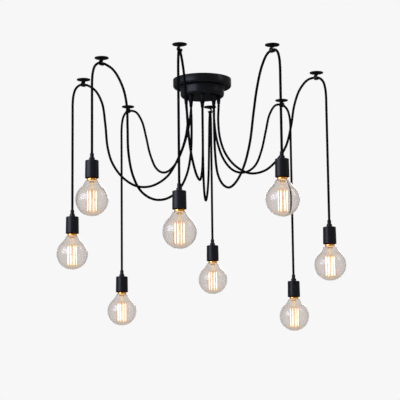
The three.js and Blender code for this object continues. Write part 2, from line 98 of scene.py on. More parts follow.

# %% [markdown]
# ## Where each arm is
# An arm runs from its grip under the canopy out to its hook and a little past it. Everything on an arm lies
# in one upright plane, so two numbers place a point: how far out along the arm, and how high. The routes of
# the cords are listed points of the measured model, in millimetres. The arms differ in the bearings
# of grip and hook, in degrees, in their shares of the common sizes, and in how far the hook is turned.

# %% The eight arms
# share is a share of HOOK_CIRCLE, reach of DROP_REACH and bulb of LOWEST_BULB.
ARMS = [
    dict(grip=0, hook=347.5, share=0.89, reach=0.64, bulb=0.833, turn=-22,
         route=[(-2, -130), (3, -185), (20, -235), (52, -276), (96, -300), (142, -294), (180, -264),
                (208, -224), (226, -160), (237, -98), (255, -50), (281, -21)]),
    dict(grip=45, hook=48, share=0.975, reach=1, bulb=1, turn=0,
         route=[(1, -120), (12, -180), (40, -234), (80, -264), (122, -270), (166, -259), (203, -232),
                (232, -182), (255, -116), (275, -60), (306, -24)]),
    dict(grip=90, hook=86, share=0.945, reach=0.8, bulb=0.815, turn=0,
         route=[(0, -150), (2, -235), (14, -300), (42, -342), (82, -356), (126, -345), (175, -312),
                (222, -255), (250, -185), (270, -115), (294, -50)]),
    dict(grip=135, hook=124.5, share=1.09, reach=1, bulb=0.959, turn=0,
         route=[(5, -108), (17, -145), (44, -192), (84, -236), (127, -257), (170, -258), (212, -236),
                (248, -184), (271, -126), (296, -70), (335, -30)]),
    dict(grip=180, hook=183.5, share=0.915, reach=0.75, bulb=0.765, turn=22,
         route=[(-4, -130), (3, -182), (22, -238), (60, -303), (108, -333), (152, -334), (194, -309),
                (227, -264), (242, -214), (249, -143), (260, -72), (284, -31)]),
    dict(grip=225, hook=224, share=1.015, reach=0.82, bulb=0.596, turn=0,
         route=[(-2, -150), (2, -235), (20, -306), (54, -357), (104, -389), (158, -396), (206, -377),
                (237, -334), (254, -268), (257, -195), (260, -127), (276, -74), (312, -29)]),
    dict(grip=270, hook=261.5, share=1.07, reach=0.57, bulb=0.758, turn=0,
         route=[(0, -150), (3, -235), (20, -300), (56, -332), (110, -331), (168, -308), (222, -268),
                (258, -212), (280, -145), (304, -85), (338, -42)]),
    dict(grip=315, hook=296, share=1.13, reach=1.05, bulb=0.636, turn=22,
         route=[(-1, -150), (4, -240), (20, -304), (54, -342), (104, -361), (158, -349), (210, -311),
                (250, -250), (276, -172), (302, -102), (334, -49), (370, -20)]),
]


def at_bearing(radius, degrees):
    angle = math.radians(degrees)
    return Vector((radius * math.cos(angle), radius * math.sin(angle), 0))


def lay_out(arm):
    """Adds to an arm where its grip, hook and hanging lamp are."""
    arm["grip_place"] = at_bearing(GRIP_CIRCLE, arm["grip"])
    arm["hook_place"] = at_bearing(HOOK_CIRCLE * arm["share"], arm["hook"])
    along = arm["hook_place"] - arm["grip_place"]
    arm["span"] = along.length
    arm["outward"] = along.normalized()
    arm["out"] = arm["span"] + DROP_REACH * arm["reach"]
    arm["rim"] = BULB_DROP - LOWEST_BULB * arm["bulb"]
    arm["lamp_place"] = on_arm(arm, arm["out"], arm["rim"])


def on_arm(arm, along, height):
    point = arm["grip_place"] + arm["outward"] * along
    return Vector((point.x, point.y, height))


for arm in ARMS:
    lay_out(arm)
print("lamp rims at", [round(arm["rim"], 3) for arm in ARMS])

# %% [markdown]
# ## One smooth curve through a few points
# A cord bends evenly, so the points of its route are joined by a curve and not by straight lines. A
# centripetal spline is used here: it passes through every point, and unlike plainer splines it makes no
# loops or kinks where two points are close together.

# %% The spline
SMALLEST_GAP = 1e-9


def spline_span(before, start, end, after, steps):
    """Points on the centripetal spline between start and end, without the last one."""
    gap_before, gap, gap_after = [max((there - here).length, SMALLEST_GAP) ** 0.5
                                  for here, there in ((before, start), (start, end), (end, after))]
    slope_start = (start - before) / gap_before - (end - before) / (gap_before + gap) + (end - start) / gap
    slope_end = (end - start) / gap - (after - start) / (gap + gap_after) + (after - end) / gap_after
    slope_start, slope_end = slope_start * gap, slope_end * gap
    points = []
    for step in range(steps):
        t = step / steps
        point = start + slope_start * t
        point += (3 * (end - start) - 2 * slope_start - slope_end) * t ** 2
        point += (2 * (start - end) + slope_start + slope_end) * t ** 3
        points.append(point)
    return points


def smooth_path(points, steps=12):
    """A fine line of points on the spline through the given ones."""
    first, last = 2 * points[0] - points[1], 2 * points[-1] - points[-2]
    padded = [first, *points, last]
    line = []
    for index in range(1, len(padded) - 2):
        line += spline_span(*padded[index - 1:index + 3], steps)
    return line + [points[-1]]


def evenly(line, spacing):
    """The same line with its points about as far apart as spacing."""
    lengths = [0.0]
    for start, end in zip(line, line[1:]):
        lengths.append(lengths[-1] + (end - start).length)
    count = max(2, round(lengths[-1] / spacing))
    points, index = [], 0
    for step in range(count + 1):
        wanted = lengths[-1] * step / count
        while index < len(line) - 2 and lengths[index + 1] < wanted:
            index += 1
        share = (wanted - lengths[index]) / (lengths[index + 1] - lengths[index])
        points.append(line[index].lerp(line[index + 1], min(1.0, share)))
    return points


def line_length(line):
    return sum((end - start).length for start, end in zip(line, line[1:]))


# %% [markdown]
# ## The cords
# Each cord is one length of round cloth-covered cable. It leaves its grip straight down, sags, rises over its
# hook and hangs down into the socket's collar. A bevelled curve object could make the tube, but a mesh tube
# made ring by ring can carry its own map: across the map goes round the cord, along it runs down its length,
# both in metres, so the braid has the same size everywhere and follows every bend.

# %% Cord routes
ARCH = [(0.38, 0.04), (0.72, 0.17), (0.93, 0.43), (1, 0.76)]  # past the hook: shares out and down
HINGE_GAP = 0.95 * MM
CORD_START = MOUTH_DEPTH - 6 * MM
CORD_RING_SPACING = 4 * MM
CORD_SIDES = 16
INTO_COLLAR = 3 * MM
ROUTE_STEPS = 24  # points of the curve for each point of the route


def cord_route(arm):
    """The middle line of a cord, from inside its grip over the hook to the socket's collar."""
    reach = DROP_REACH * arm["reach"]
    fall = PIVOT_DEPTH - HOOK_CORD_DEPTH
    points = [on_arm(arm, 0, -CORD_START), on_arm(arm, 0, -MOUTH_DEPTH - 2 * CORD_RADIUS)]
    points += [on_arm(arm, along * MM, height * MM) for along, height in arm["route"]]
    points.append(on_arm(arm, arm["span"], -HOOK_CORD_DEPTH))
    points += [on_arm(arm, arm["span"] + reach * out, -HOOK_CORD_DEPTH - fall * down) for out, down in ARCH]
    points.append(on_arm(arm, arm["out"], -PIVOT_DEPTH + HINGE_GAP / 2))
    line = evenly(smooth_path(points, ROUTE_STEPS), CORD_RING_SPACING)
    bottom = on_arm(arm, arm["out"], arm["rim"] + SOCKET_TOP - INTO_COLLAR)
    return line + evenly([line[-1], bottom], CORD_RING_SPACING)[1:]


def cord_tube(name, line, across, radius):
    """A closed round tube along a line that lies in the upright plane square to across."""
    mesh = bpy.data.meshes.new(name)
    spots, travelled, far = [], [0.0], len(line) - 1
    for index, middle in enumerate(line):
        ahead = (line[min(index + 1, far)] - line[max(index - 1, 0)]).normalized()
        inner = ahead.cross(across).normalized()
        for side in range(CORD_SIDES):
            angle = math.tau * side / CORD_SIDES
            spots.append(middle + radius * (math.cos(angle) * across + math.sin(angle) * inner))
        if index:
            travelled.append(travelled[-1] + (middle - line[index - 1]).length)
    faces, corners = [], []
    for ring in range(far):
        for side in range(CORD_SIDES):
            after = (side + 1) % CORD_SIDES
            a, b = ring * CORD_SIDES, (ring + 1) * CORD_SIDES
            faces.append((a + side, a + after, b + after, b + side))
            corners += [(side, ring), (side + 1, ring), (side + 1, ring + 1), (side, ring + 1)]
    for ring, order in ((0, range(CORD_SIDES)[::-1]), (far, range(CORD_SIDES))):
        faces.append([ring * CORD_SIDES + side for side in order])
        corners += [(side, ring) for side in order]
    mesh.from_pydata(spots, [], faces)
    braid_map = mesh.uv_layers.new(name="braid_map")
    step = math.tau * radius / CORD_SIDES
    for loop, (side, ring) in zip(braid_map.data, corners):
        loop.uv = (side * step, travelled[ring])
    mesh.shade_smooth()
    tube = bpy.data.objects.new(name, mesh)
    bpy.context.scene.collection.objects.link(tube)
    return tube


BEND_REACH = 20 * MM  # how far the bend reaches above and below its middle
SAG_ROOM = 6 * MM  # kept free between the bend and the sagging stretch, which hangs lower still
SLANTS = [step / 20 for step in range(24, 7, -1)]  # fall for each metre outwards, the steepest first


def bend_span(arm, line):
    """Start and end of the bend over the hook, along the steepest slant that leaves the sag out of it."""
    middle = on_arm(arm, arm["out"], -PIVOT_DEPTH)
    sag = [point for point in line if (point - arm["grip_place"]).dot(arm["outward"]) < arm["span"]]
    for slant in SLANTS:
        towards = (arm["outward"] - Vector((0, 0, slant))).normalized()
        half = -towards.z * BEND_REACH * towards
        room = min((middle - half - point).dot(towards) for point in sag)
        if room > SAG_ROOM:
            break
    print("bend slant", slant, "clear of the sag by", round(room / MM), "mm")
    return middle - half, middle + half


cords = []
for number, arm in zip(ARM_NUMBERS, ARMS):
    line = cord_route(arm)
    across = Vector((0, 0, 1)).cross(arm["outward"]).normalized()
    cord = cord_tube(f"cord_{number}", line, across, BRAID_RADIUS)
    start, end = bend_span(arm, line)
    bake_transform(cord)
    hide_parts(f"swag_cord_{number}", f"drop_cord_{number}")
    cords.append(cord)
    print(cord.name, round(line_length(line), 3), "m in", len(line), "rings")

# %% [markdown]
# ## Working by hand with operators
# The pieces below are made as in the viewport: a primitive is added, its parts are selected and extruded,
# bevelled or spun, and modifiers are applied. An operator works on everything that is selected, so each
# piece starts with nothing selected. In edit mode the parts are then chosen in code by where they are, which
# keeps working when a size is changed.

# %% Selecting and finishing
MERGE_DISTANCE = 0.001 * MM


def select_nothing():
    if bpy.context.object and bpy.context.object.mode != "OBJECT":
        bpy.ops.object.mode_set(mode="OBJECT")
    bpy.ops.object.select_all(action="DESELECT")


def work_on(piece):
    """Makes a piece the only selected object."""
    select_nothing()
    piece.select_set(True)
    bpy.context.view_layer.objects.active = piece


def start_editing(piece):
    """Goes into edit mode with all of the piece selected."""
    work_on(piece)
    bpy.ops.object.mode_set(mode="EDIT")
    bpy.ops.mesh.select_all(action="SELECT")


def stop_editing():
    bpy.ops.object.mode_set(mode="OBJECT")


def choose(piece, kind, test):
    """In edit mode, selects the vertices or faces whose middle and normal pass the test."""
    bpy.ops.mesh.select_mode(type=kind)
    bpy.ops.mesh.select_all(action="DESELECT")
    shape = bmesh.from_edit_mesh(piece.data)
    for part in shape.verts if kind == "VERT" else shape.faces:
        corners = [part] if kind == "VERT" else part.verts
        if test(sum((corner.co for corner in corners), Vector()) / len(corners), part.normal):
            part.select_set(True)
    shape.select_flush_mode()
    bmesh.update_edit_mesh(piece.data)


def apply_modifier(piece, kind, **settings):
    """Adds a modifier with the given settings and applies it."""
    work_on(piece)
    modifier = piece.modifiers.new(kind.lower(), kind)
    for setting, value in settings.items():
        setattr(modifier, setting, value)
    bpy.ops.object.modifier_apply(modifier=modifier.name)


def smooth(piece, angle=35):
    work_on(piece)
    bpy.ops.object.shade_smooth_by_angle(angle=math.radians(angle))


def round_edges(piece, width, segments, angle, shading=35):
    """Rounds every edge sharper than the angle, by a width in millimetres, and shades the piece smooth."""
    apply_modifier(piece, "BEVEL", width=width * MM, segments=segments, limit_method="ANGLE",
                   angle_limit=math.radians(angle), use_clamp_overlap=True, miter_outer="MITER_ARC")
    smooth(piece, shading)


def merge_and_face_outwards(piece):
    start_editing(piece)
    bpy.ops.mesh.remove_doubles(threshold=MERGE_DISTANCE)
    bpy.ops.mesh.normals_make_consistent(inside=False)
    stop_editing()


def report(piece):
    size = [max(v.co[axis] for v in piece.data.vertices) - min(v.co[axis] for v in piece.data.vertices)
            for axis in range(3)]
    print(piece.name, [round(side / MM, 1) for side in size], "mm,", len(piece.data.polygons), "faces")


# %% [markdown]
# ## A lathe and a sheet bender
# Most of this light is turned: canopy, grips, sockets, caps and globes are all round about one axis. An
# outline is drawn by extruding a single vertex from corner to corner, each corner that is round gets a
# vertex bevel, and the outline is spun once round the Z axis. That gives real curves where a stack of
# cylinders would only give steps. What is bent from sheet starts with the same outline, drawn out sideways.

# %% The lathe and the bender
CORNER_SEGMENTS = 6
SAME_PLACE = 0.01 * MM  # a vertex nearer to a corner than this is that corner


def in_mm(*corners):
    return [tuple(value * MM for value in corner) for corner in corners]


def draw_outline(name, corners):
    """Edges through (radius, height) or (radius, height, rounding) corners, all in millimetres."""
    outline = in_mm(*corners)
    select_nothing()
    bpy.ops.mesh.primitive_plane_add(size=MM, location=(0, 0, 0))
    piece = bpy.context.object
    piece.name = piece.data.name = name
    start_editing(piece)
    bpy.ops.mesh.select_mode(type="VERT")
    bpy.ops.mesh.merge(type="CENTER")
    bpy.ops.transform.translate(value=(outline[0][0], 0, outline[0][1]))
    for here, there in zip(outline, outline[1:]):
        step = (there[0] - here[0], 0, there[1] - here[1])
        bpy.ops.mesh.extrude_region_move(TRANSFORM_OT_translate={"value": step})
    for corner in outline:
        if len(corner) == 3:
            spot = Vector((corner[0], 0, corner[1]))
            choose(piece, "VERT", lambda middle, normal: (middle - spot).length < SAME_PLACE)
            bpy.ops.mesh.bevel(offset=corner[2], segments=CORNER_SEGMENTS, affect="VERTICES")
    stop_editing()
    return piece


def spin_round(piece, steps):
    """Spins an outline once round the Z axis and closes it where it meets itself."""
    start_editing(piece)
    bpy.ops.mesh.spin(steps=steps, angle=math.tau, center=(0, 0, 0), axis=(0, 0, 1))
    merge_and_face_outwards(piece)


def turn_on_lathe(name, corners, steps=48, angle=35):
    piece = draw_outline(name, corners)
    spin_round(piece, steps)
    smooth(piece, angle)
    return piece


def pull_sheet(name, corners, width):
    """A sheet without thickness: an outline drawn out to both sides until it is width millimetres wide."""
    sheet = draw_outline(name, corners)
    start_editing(sheet)
    bpy.ops.transform.translate(value=(0, -width / 2 * MM, 0))
    bpy.ops.mesh.extrude_region_move(TRANSFORM_OT_translate={"value": (0, width * MM, 0)})
    merge_and_face_outwards(sheet)
    return sheet


def press_grooves(piece, depth, width, every, radius, slant, heights=(-100, 100)):
    """Pushes one of every few upright strips of faces in. Lengths are in millimetres, width is in degrees.

    A strip takes the faces outside the radius and between the heights whose normals rise less than slant.
    """
    def in_groove(middle, normal):
        strip = math.floor(math.degrees(math.atan2(middle.y, middle.x)) / width)
        upright = abs(normal.z) < slant and heights[0] * MM < middle.z < heights[1] * MM
        return strip % every == 0 and upright and Vector((middle.x, middle.y)).length > radius * MM

    start_editing(piece)
    choose(piece, "FACE", in_groove)
    bpy.ops.mesh.extrude_region_shrink_fatten(TRANSFORM_OT_shrink_fatten={"value": -depth * MM})
    stop_editing()
    smooth(piece, 30)


# %% [markdown]
# ## Wires, joints and holes
# A rod that bends is a curve with a round bevel. A curve is easy to guide through points, and it is made a
# mesh at once, so that it is finished like every other piece. Pieces that belong together are joined, and
# holes and slots are cut with cylinders and boxes, which are removed once they have done their work.

# %% Bending wire
TIP_ANGLES = (30, 55, 75, 88)


def bend_wire(name, points, radius, fineness=3, tip=False):
    """A round wire along points. With a tip its far end is rounded."""
    curve = bpy.data.curves.new(name, "CURVE")
    curve.dimensions = "3D"
    curve.bevel_depth = radius
    curve.bevel_resolution = fineness
    curve.use_fill_caps = True
    points = [Vector(point) for point in points]
    radii = [1.0] * len(points)
    if tip:
        ahead = (points[-1] - points[-2]).normalized()
        last = points[-1]
        for angle in TIP_ANGLES:
            points.append(last + ahead * radius * math.sin(math.radians(angle)))
            radii.append(math.cos(math.radians(angle)))
    spline = curve.splines.new("POLY")
    spline.points.add(len(points) - 1)
    for spot, point, share in zip(spline.points, points, radii):
        spot.co = (*point, 1)
        spot.radius = share
    wire = bpy.data.objects.new(name, curve)
    bpy.context.scene.collection.objects.link(wire)
    work_on(wire)
    bpy.ops.object.convert(target="MESH")
    wire = bpy.context.object
    merge_and_face_outwards(wire)
    smooth(wire, 50)
    return wire


# %% Joining, boxes and holes


def join_pieces(name, pieces):
    select_nothing()
    for piece in pieces:
        piece.select_set(True)
    bpy.context.view_layer.objects.active = pieces[0]
    bpy.ops.object.join()
    whole = bpy.context.object
    whole.name = whole.data.name = name
    return whole


def cut_away(piece, cutters):
    """Cuts the shape of the cutters out of a piece and removes them."""
    cutter = join_pieces("cutter", cutters) if len(cutters) > 1 else cutters[0]
    apply_modifier(piece, "BOOLEAN", operation="DIFFERENCE", solver="EXACT", object=cutter)
    bpy.data.objects.remove(cutter)


def drill(radius, start, end, sides=32):
    """A cylinder from one point to the other, to cut a hole with."""
    start, end = Vector(start), Vector(end)
    select_nothing()
    bpy.ops.mesh.primitive_cylinder_add(vertices=sides, radius=radius, depth=(end - start).length,
                                        location=(start + end) / 2,
                                        rotation=(end - start).to_track_quat("Z", "Y").to_euler())
    bpy.ops.object.transform_apply(location=True, rotation=True, scale=True)
    return bpy.context.object


def add_box(middle, size, turned=0.0):
    """A box from its middle and its size in millimetres, turned about its own upright axis."""
    select_nothing()
    place, scale = in_mm(middle, size)
    bpy.ops.mesh.primitive_cube_add(size=1, location=place, rotation=(0, 0, turned), scale=scale)
    bpy.ops.object.transform_apply(location=True, rotation=True, scale=True)
    return bpy.context.object


# %% [markdown]
# ## Copies
# What repeats on the eight arms is modelled once, at the origin. Each copy gets its own mesh with its place
# worked into it, so that every finished object still sits at the origin, unturned and unscaled.

# %% Finishing a piece and copying it to its places


def paint(piece, finish):
    piece.data.materials.clear()
    piece.data.materials.append(finish)
    report(piece)


def keep(piece, finish, body, slot, *replaces):
    """Gives a piece its finish and its place among the measured parts."""
    paint(piece, finish)
    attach(piece, body)
    if replaces:
        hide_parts(*replaces)


def set_copy(model, name, place, turn=0.0):
    piece = model.copy()
    piece.data = model.data.copy()
    piece.name = piece.data.name = name
    bpy.context.scene.collection.objects.link(piece)
    piece.data.transform(Matrix.Translation(place) @ Matrix.Rotation(turn, 4, "Z"))
    return piece


def set_on_arms(model, finish, name, body, replaces=None, place="lamp_place", turns=(0.0,) * 8):
    """Copies a model piece to all eight arms, each turned its own way, and removes the model itself."""
    paint(model, finish)
    for number, arm, turn in zip(ARM_NUMBERS, ARMS, turns):
        piece = set_copy(model, f"{name}_{number}", arm[place], turn)
        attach(piece, body.replace("N", str(number)))
        if replaces:
            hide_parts(f"{replaces}_{number}")
    bpy.data.objects.remove(model)


# %% [markdown]
# ## Building shader nodes
# A finish is a tree of nodes. These few helpers keep each tree short: a setting that names an input takes a
# number, a colour or the output of another node, and a texture always lies in the piece's own space.

# %% Node helpers


def plug(tree, socket, value):
    """Links an input to an output, or gives it a value."""
    if isinstance(value, bpy.types.NodeSocket):
        tree.links.new(value, socket)
    else:
        socket.default_value = value


def set_up(tree, node, **settings):
    """Fills in the inputs that the settings name. The other settings belong to the node itself."""
    for setting, value in settings.items():
        label = setting.replace("_", " ")
        if label in node.inputs:
            plug(tree, node.inputs[label], value)
        else:
            setattr(node, setting, value)
    return node


def add_node(tree, kind, place, **settings):
    """A node at a column and row of the tree, with its inputs and settings filled in."""
    node = tree.nodes.new(kind)
    node.location = (place[0] * 180, place[1] * -170)
    return set_up(tree, node, **settings)


def do_math(tree, place, operation, *values, clamp=False):
    """A Math node whose values are numbers or outputs."""
    node = add_node(tree, "ShaderNodeMath", place, operation=operation, use_clamp=clamp)
    for socket, value in zip(node.inputs, values):
        plug(tree, socket, value)
    return node.outputs[0]


def blend_colours(tree, place, share, first, second, mode="MIX"):
    """A colour Mix node whose share and colours are values or outputs."""
    node = add_node(tree, "ShaderNodeMix", place, data_type="RGBA", blend_type=mode)
    for index, value in ((0, share), (6, first), (7, second)):
        plug(tree, node.inputs[index], (*value, 1) if isinstance(value, tuple) else value)
    return node.outputs[2]


def pattern(tree, kind, place, **settings):
    """The grey value of a texture that is laid out in the piece's own space."""
    spot = add_node(tree, "ShaderNodeTexCoord", (place[0] - 1, place[1]))
    texture = add_node(tree, "ShaderNodeTex" + kind, place, Vector=spot.outputs["Object"], **settings)
    return texture.outputs["Fac"]


def share_facing(tree, place, none, full, **settings):
    """A share that follows the height of the surface's normal, from 0 at none to 1 at full."""
    spot = add_node(tree, "ShaderNodeTexCoord", (place[0] - 2, place[1]))
    normal = add_node(tree, "ShaderNodeSeparateXYZ", (place[0] - 1, place[1]), Vector=spot.outputs["Normal"])
    height = normal.outputs["Z"]
    return add_node(tree, "ShaderNodeMapRange", place, Value=height, From_Min=none, From_Max=full,
                    **settings).outputs[0]


def relief(tree, height, strength, distance):
    """The normals that a Bump node makes of a height."""
    bump = add_node(tree, "ShaderNodeBump", (-2, 2), Height=height, Strength=strength, Distance=distance)
    return bump.outputs["Normal"]


def new_material(name, colour, solid=1):
    """A material with its node tree and its shader. The colour is the one of the plain viewport."""
    material = bpy.data.materials.new(name)
    material.use_nodes = True
    material.diffuse_color = (*colour, solid)
    return material, material.node_tree, material.node_tree.nodes["Principled BSDF"]


def start_group(name, inputs, outputs):
    """A shader node group with named sockets. Inputs are (name, type, value)."""
    group = bpy.data.node_groups.new(name, "ShaderNodeTree")
    for label, kind, value in inputs:
        socket = group.interface.new_socket(name=label, in_out="INPUT", socket_type="NodeSocket" + kind)
        socket.default_value = value
    for label, kind in outputs:
        group.interface.new_socket(name=label, in_out="OUTPUT", socket_type="NodeSocket" + kind)
    return group, group.nodes.new("NodeGroupInput").outputs, group.nodes.new("NodeGroupOutput")


# %% [markdown]
# ## Two effects that many finishes share
# Moulded plastic, powder paint and sheet metal differ in colour and gloss, but each has a fine grain, a broad
# unevenness from handling and a few scuffs. One node group makes all of that, and every material sets its own
# values. A second group gives the dust that settles on whatever faces up. The groups put out colours and
# values only, and the shader itself stays in each material.

# %% The grain and handling group
GREY = (0.5, 0.5, 0.5, 1)

handled, given, made = start_group(
    "handled_surface",
    [("Colour", "Color", GREY), ("Scuff Colour", "Color", GREY), ("Scuffs", "Float", 0.2),
     ("Grain Scale", "Float", 2000.0), ("Patch Scale", "Float", 40.0), ("Roughness", "Float", 0.5),
     ("Unevenness", "Float", 0.1)],
    [("Colour", "Color"), ("Roughness", "Float"), ("Height", "Float")])
grain = pattern(handled, "Noise", (1, 0), Scale=given["Grain Scale"], Detail=3.0, Roughness=0.6)
patches = pattern(handled, "Noise", (1, 2), Scale=given["Patch Scale"], Detail=4.0, Roughness=0.55)
finer = do_math(handled, (0, 5), "MULTIPLY", given["Patch Scale"], 3.3)
scratches = pattern(handled, "Noise", (1, 4), Scale=finer, Detail=8.0, Roughness=0.72, Distortion=0.6)
worn = add_node(handled, "ShaderNodeMapRange", (2, 4), Value=scratches, From_Min=0.6, From_Max=0.72)
mask = do_math(handled, (3, 4), "MULTIPLY", worn.outputs[0], given["Scuffs"], clamp=True)
tone = do_math(handled, (2, 2), "MULTIPLY_ADD", patches, 0.7, 0.65)  # a third darker or lighter at most
shaded = blend_colours(handled, (3, 1), 1.0, given["Colour"], tone, "MULTIPLY")
swing = do_math(handled, (2, 3), "SUBTRACT", patches, 0.5)
swing = do_math(handled, (3, 3), "MULTIPLY", swing, given["Unevenness"])
rough = do_math(handled, (4, 3), "ADD", given["Roughness"], swing)
set_up(handled, made, Colour=blend_colours(handled, (4, 2), mask, shaded, given["Scuff Colour"]),
       Roughness=do_math(handled, (5, 3), "MULTIPLY_ADD", mask, 0.12, rough), Height=grain)

# %% The dust group
dusty, given, made = start_group(
    "settled_dust", [("Colour", "Color", GREY), ("Amount", "Float", 0.2)], [("Colour", "Color")])
specks = pattern(dusty, "Noise", (0, 2), Scale=160.0, Detail=7.0, Roughness=0.7)
mask = do_math(dusty, (2, 0), "MULTIPLY", share_facing(dusty, (1, 0), 0.35, 0.95), specks)
mask = do_math(dusty, (3, 0), "MULTIPLY", mask, given["Amount"], clamp=True)
set_up(dusty, made, Colour=blend_colours(dusty, (4, 0), mask, given["Colour"], (0.32, 0.30, 0.27)))
print("groups:", [group.name for group in bpy.data.node_groups])

# %% [markdown]
# ## Finishes that use them
# The canopy, the hooks and the screw are powder-coated steel: very dark, satin, with a faint orange-peel
# grain. The sockets and grips are moulded black plastic, a little lighter and duller. Their gloss is a thin
# Coat over a body that doesn't shine at all: the coat's weight scales its whole reflection, so the white room
# doesn't turn the edges grey as it would with the base layer's. Undersides get less of the coat, so they
# reflect less of the room and stay darker: painted shade.

# %% Paint, plastic and metal
HANDLING = 0.12  # how much the gloss varies from patch to patch
# Painted shade: undersides keep only this share of the coat, so they reflect less and stay darker.
SHADED_UNDERSIDE_COAT = 0.28  # the share of the coat that undersides get


def handled_material(name, colour, roughness, scuff_colour, scuffs, grain, patch, bump, dust=0.0, coat=0.0,
                     **constants):
    """A finish of the handled-surface group. Scuffs and dust are amounts, grain and patch are sizes in
    millimetres, bump is the height of the grain, and constants go straight to the shader."""
    material, tree, shader = new_material(name, colour)
    skin = add_node(tree, "ShaderNodeGroup", (-4, 0), node_tree=handled, Colour=(*colour, 1),
                    Scuff_Colour=(*scuff_colour, 1), Scuffs=scuffs, Grain_Scale=1 / (grain * MM),
                    Patch_Scale=1 / (patch * MM), Roughness=roughness, Unevenness=HANDLING)
    colour_out = skin.outputs["Colour"]
    if dust:
        layer = add_node(tree, "ShaderNodeGroup", (-2, 0), node_tree=dusty, Amount=dust, Colour=colour_out)
        colour_out = layer.outputs["Colour"]
    set_up(tree, shader, Base_Color=colour_out, Roughness=skin.outputs["Roughness"],
           Normal=relief(tree, skin.outputs["Height"], bump, grain * MM / 4), **constants)
    if coat:
        # Less coat on faces that point down: painted shade on the undersides.
        set_up(tree, shader, Coat_Weight=share_facing(tree, (-4, 4), -0.99, -0.8, To_Min=SHADED_UNDERSIDE_COAT * coat,
                                                      To_Max=coat))
    return material


black_paint = handled_material(
    "black_powder_paint", (0.0026, 0.0026, 0.0036), 0.45, (0.009, 0.009, 0.012), 0.3, 0.5, 30, 0.18,
    dust=0.1, coat=0.15, Specular_IOR_Level=0.0, Coat_Roughness=0.35)
black_plastic = handled_material(
    "black_moulded_plastic", (0.0052, 0.0050, 0.0066), 0.5, (0.014, 0.014, 0.016), 0.25, 0.25, 14, 0.25,
    dust=0.1, coat=0.155, Specular_IOR_Level=0.0, Coat_Roughness=0.33)
black_nylon = handled_material(
    "matt_black_nylon", (0.0046, 0.0045, 0.0058), 0.6, (0.012, 0.012, 0.013), 0.25, 0.3, 8, 0.2,
    dust=0.1, coat=0.06, Specular_IOR_Level=0.0, Coat_Roughness=0.45)
zinc_steel = handled_material(
    "zinc_plated_steel", (0.5, 0.51, 0.54), 0.34, (0.3, 0.3, 0.31), 0.5, 0.4, 9, 0.12, Metallic=1.0)
cream_plastic = handled_material(
    "cream_plastic", (0.62, 0.57, 0.45), 0.45, (0.42, 0.36, 0.26), 0.3, 0.3, 12, 0.15)
brass = handled_material(
    "rolled_brass", (0.50, 0.215, 0.045), 0.26, (0.22, 0.075, 0.018), 0.75, 0.3, 5, 0.12, Metallic=1.0)
copper = handled_material(
    "copper_wire", (0.70, 0.33, 0.15), 0.3, (0.30, 0.12, 0.06), 0.5, 0.2, 3, 0.1, Metallic=1.0)
tin = handled_material(
    "soldered_tin", (0.58, 0.57, 0.55), 0.3, (0.36, 0.34, 0.31), 0.5, 0.5, 3, 0.3, Metallic=1.0)
porcelain = handled_material(
    "white_porcelain", (0.72, 0.71, 0.67), 0.16, (0.55, 0.52, 0.46), 0.25, 1.2, 10, 0.06)
dark_insulator = handled_material(
    "dark_glass_insulator", (0.012, 0.011, 0.016), 0.1, (0.05, 0.05, 0.05), 0.3, 0.6, 6, 0.08)
brown_cover = handled_material(
    "brown_wire_cover", (0.10, 0.035, 0.018), 0.4, (0.16, 0.07, 0.04), 0.3, 0.3, 8, 0.1)
blue_cover = handled_material(
    "blue_wire_cover", (0.02, 0.07, 0.26), 0.4, (0.06, 0.12, 0.3), 0.3, 0.3, 8, 0.1)
cap_plastic = handled_material(
    "grey_connector_plastic", (0.42, 0.41, 0.38), 0.38, (0.3, 0.28, 0.25), 0.3, 0.3, 8, 0.15)
carbon_black = handled_material(
    "carbon_sheath_end", (0.014, 0.014, 0.015), 0.6, (0.04, 0.04, 0.04), 0.3, 0.3, 6, 0.3)
print(len(bpy.data.materials), "handled finishes")

# %% [markdown]
# ## Braided cloth
# The cords are covered in a fine black braid: strands wind round both ways and pass over and under each
# other. Two families of slanting lines are counted on the cord's own map. Where both counts are even or both
# odd one family lies on top, and elsewhere the other. The number of strands round the cord is whole, so the
# braid has no seam.

# %% The cord's finish
STRANDS_ROUND = 18
BRAID_PITCH = 2.1 * MM
# The darker strand colour is painted shade in the braid's creases, where strands dip under the others.
STRAND_CREASE_SHADE, STRAND_CROWN, FADED = (0.0014, 0.0014, 0.0016), (0.0048, 0.0048, 0.0054), (0.009, 0.0088, 0.009)

cord_cloth, tree, shader = new_material("braided_black_cloth", (0.01, 0.01, 0.011))
flat_map = add_node(tree, "ShaderNodeUVMap", (-12, 0), uv_map="braid_map")
sides = add_node(tree, "ShaderNodeSeparateXYZ", (-11, 0), Vector=flat_map.outputs[0])
round_count = do_math(tree, (-10, 0), "MULTIPLY", sides.outputs[0], STRANDS_ROUND / (math.tau * BRAID_RADIUS))
long_count = do_math(tree, (-10, 1), "MULTIPLY", sides.outputs[1], 1 / BRAID_PITCH)
crowns, whole = [], []
for row, operation in enumerate(("ADD", "SUBTRACT")):
    count = do_math(tree, (-9, row), operation, round_count, long_count)
    half_turn = do_math(tree, (-7, row), "MULTIPLY", do_math(tree, (-8, row), "FRACT", count), math.pi)
    crowns.append(do_math(tree, (-6, row), "SINE", half_turn))
    whole.append(do_math(tree, (-8, 3 + row), "FLOOR", count))
parity = do_math(tree, (-6, 3), "PINGPONG", do_math(tree, (-7, 3), "ADD", *whole), 1.0)
upper = add_node(tree, "ShaderNodeMix", (-5, 0), data_type="FLOAT")
for index, value in ((0, parity), (2, crowns[0]), (3, crowns[1])):
    plug(tree, upper.inputs[index], value)
crown = upper.outputs[0]
fibres = pattern(tree, "Noise", (-6, 5), Scale=2600.0, Detail=4.0, Roughness=0.7)
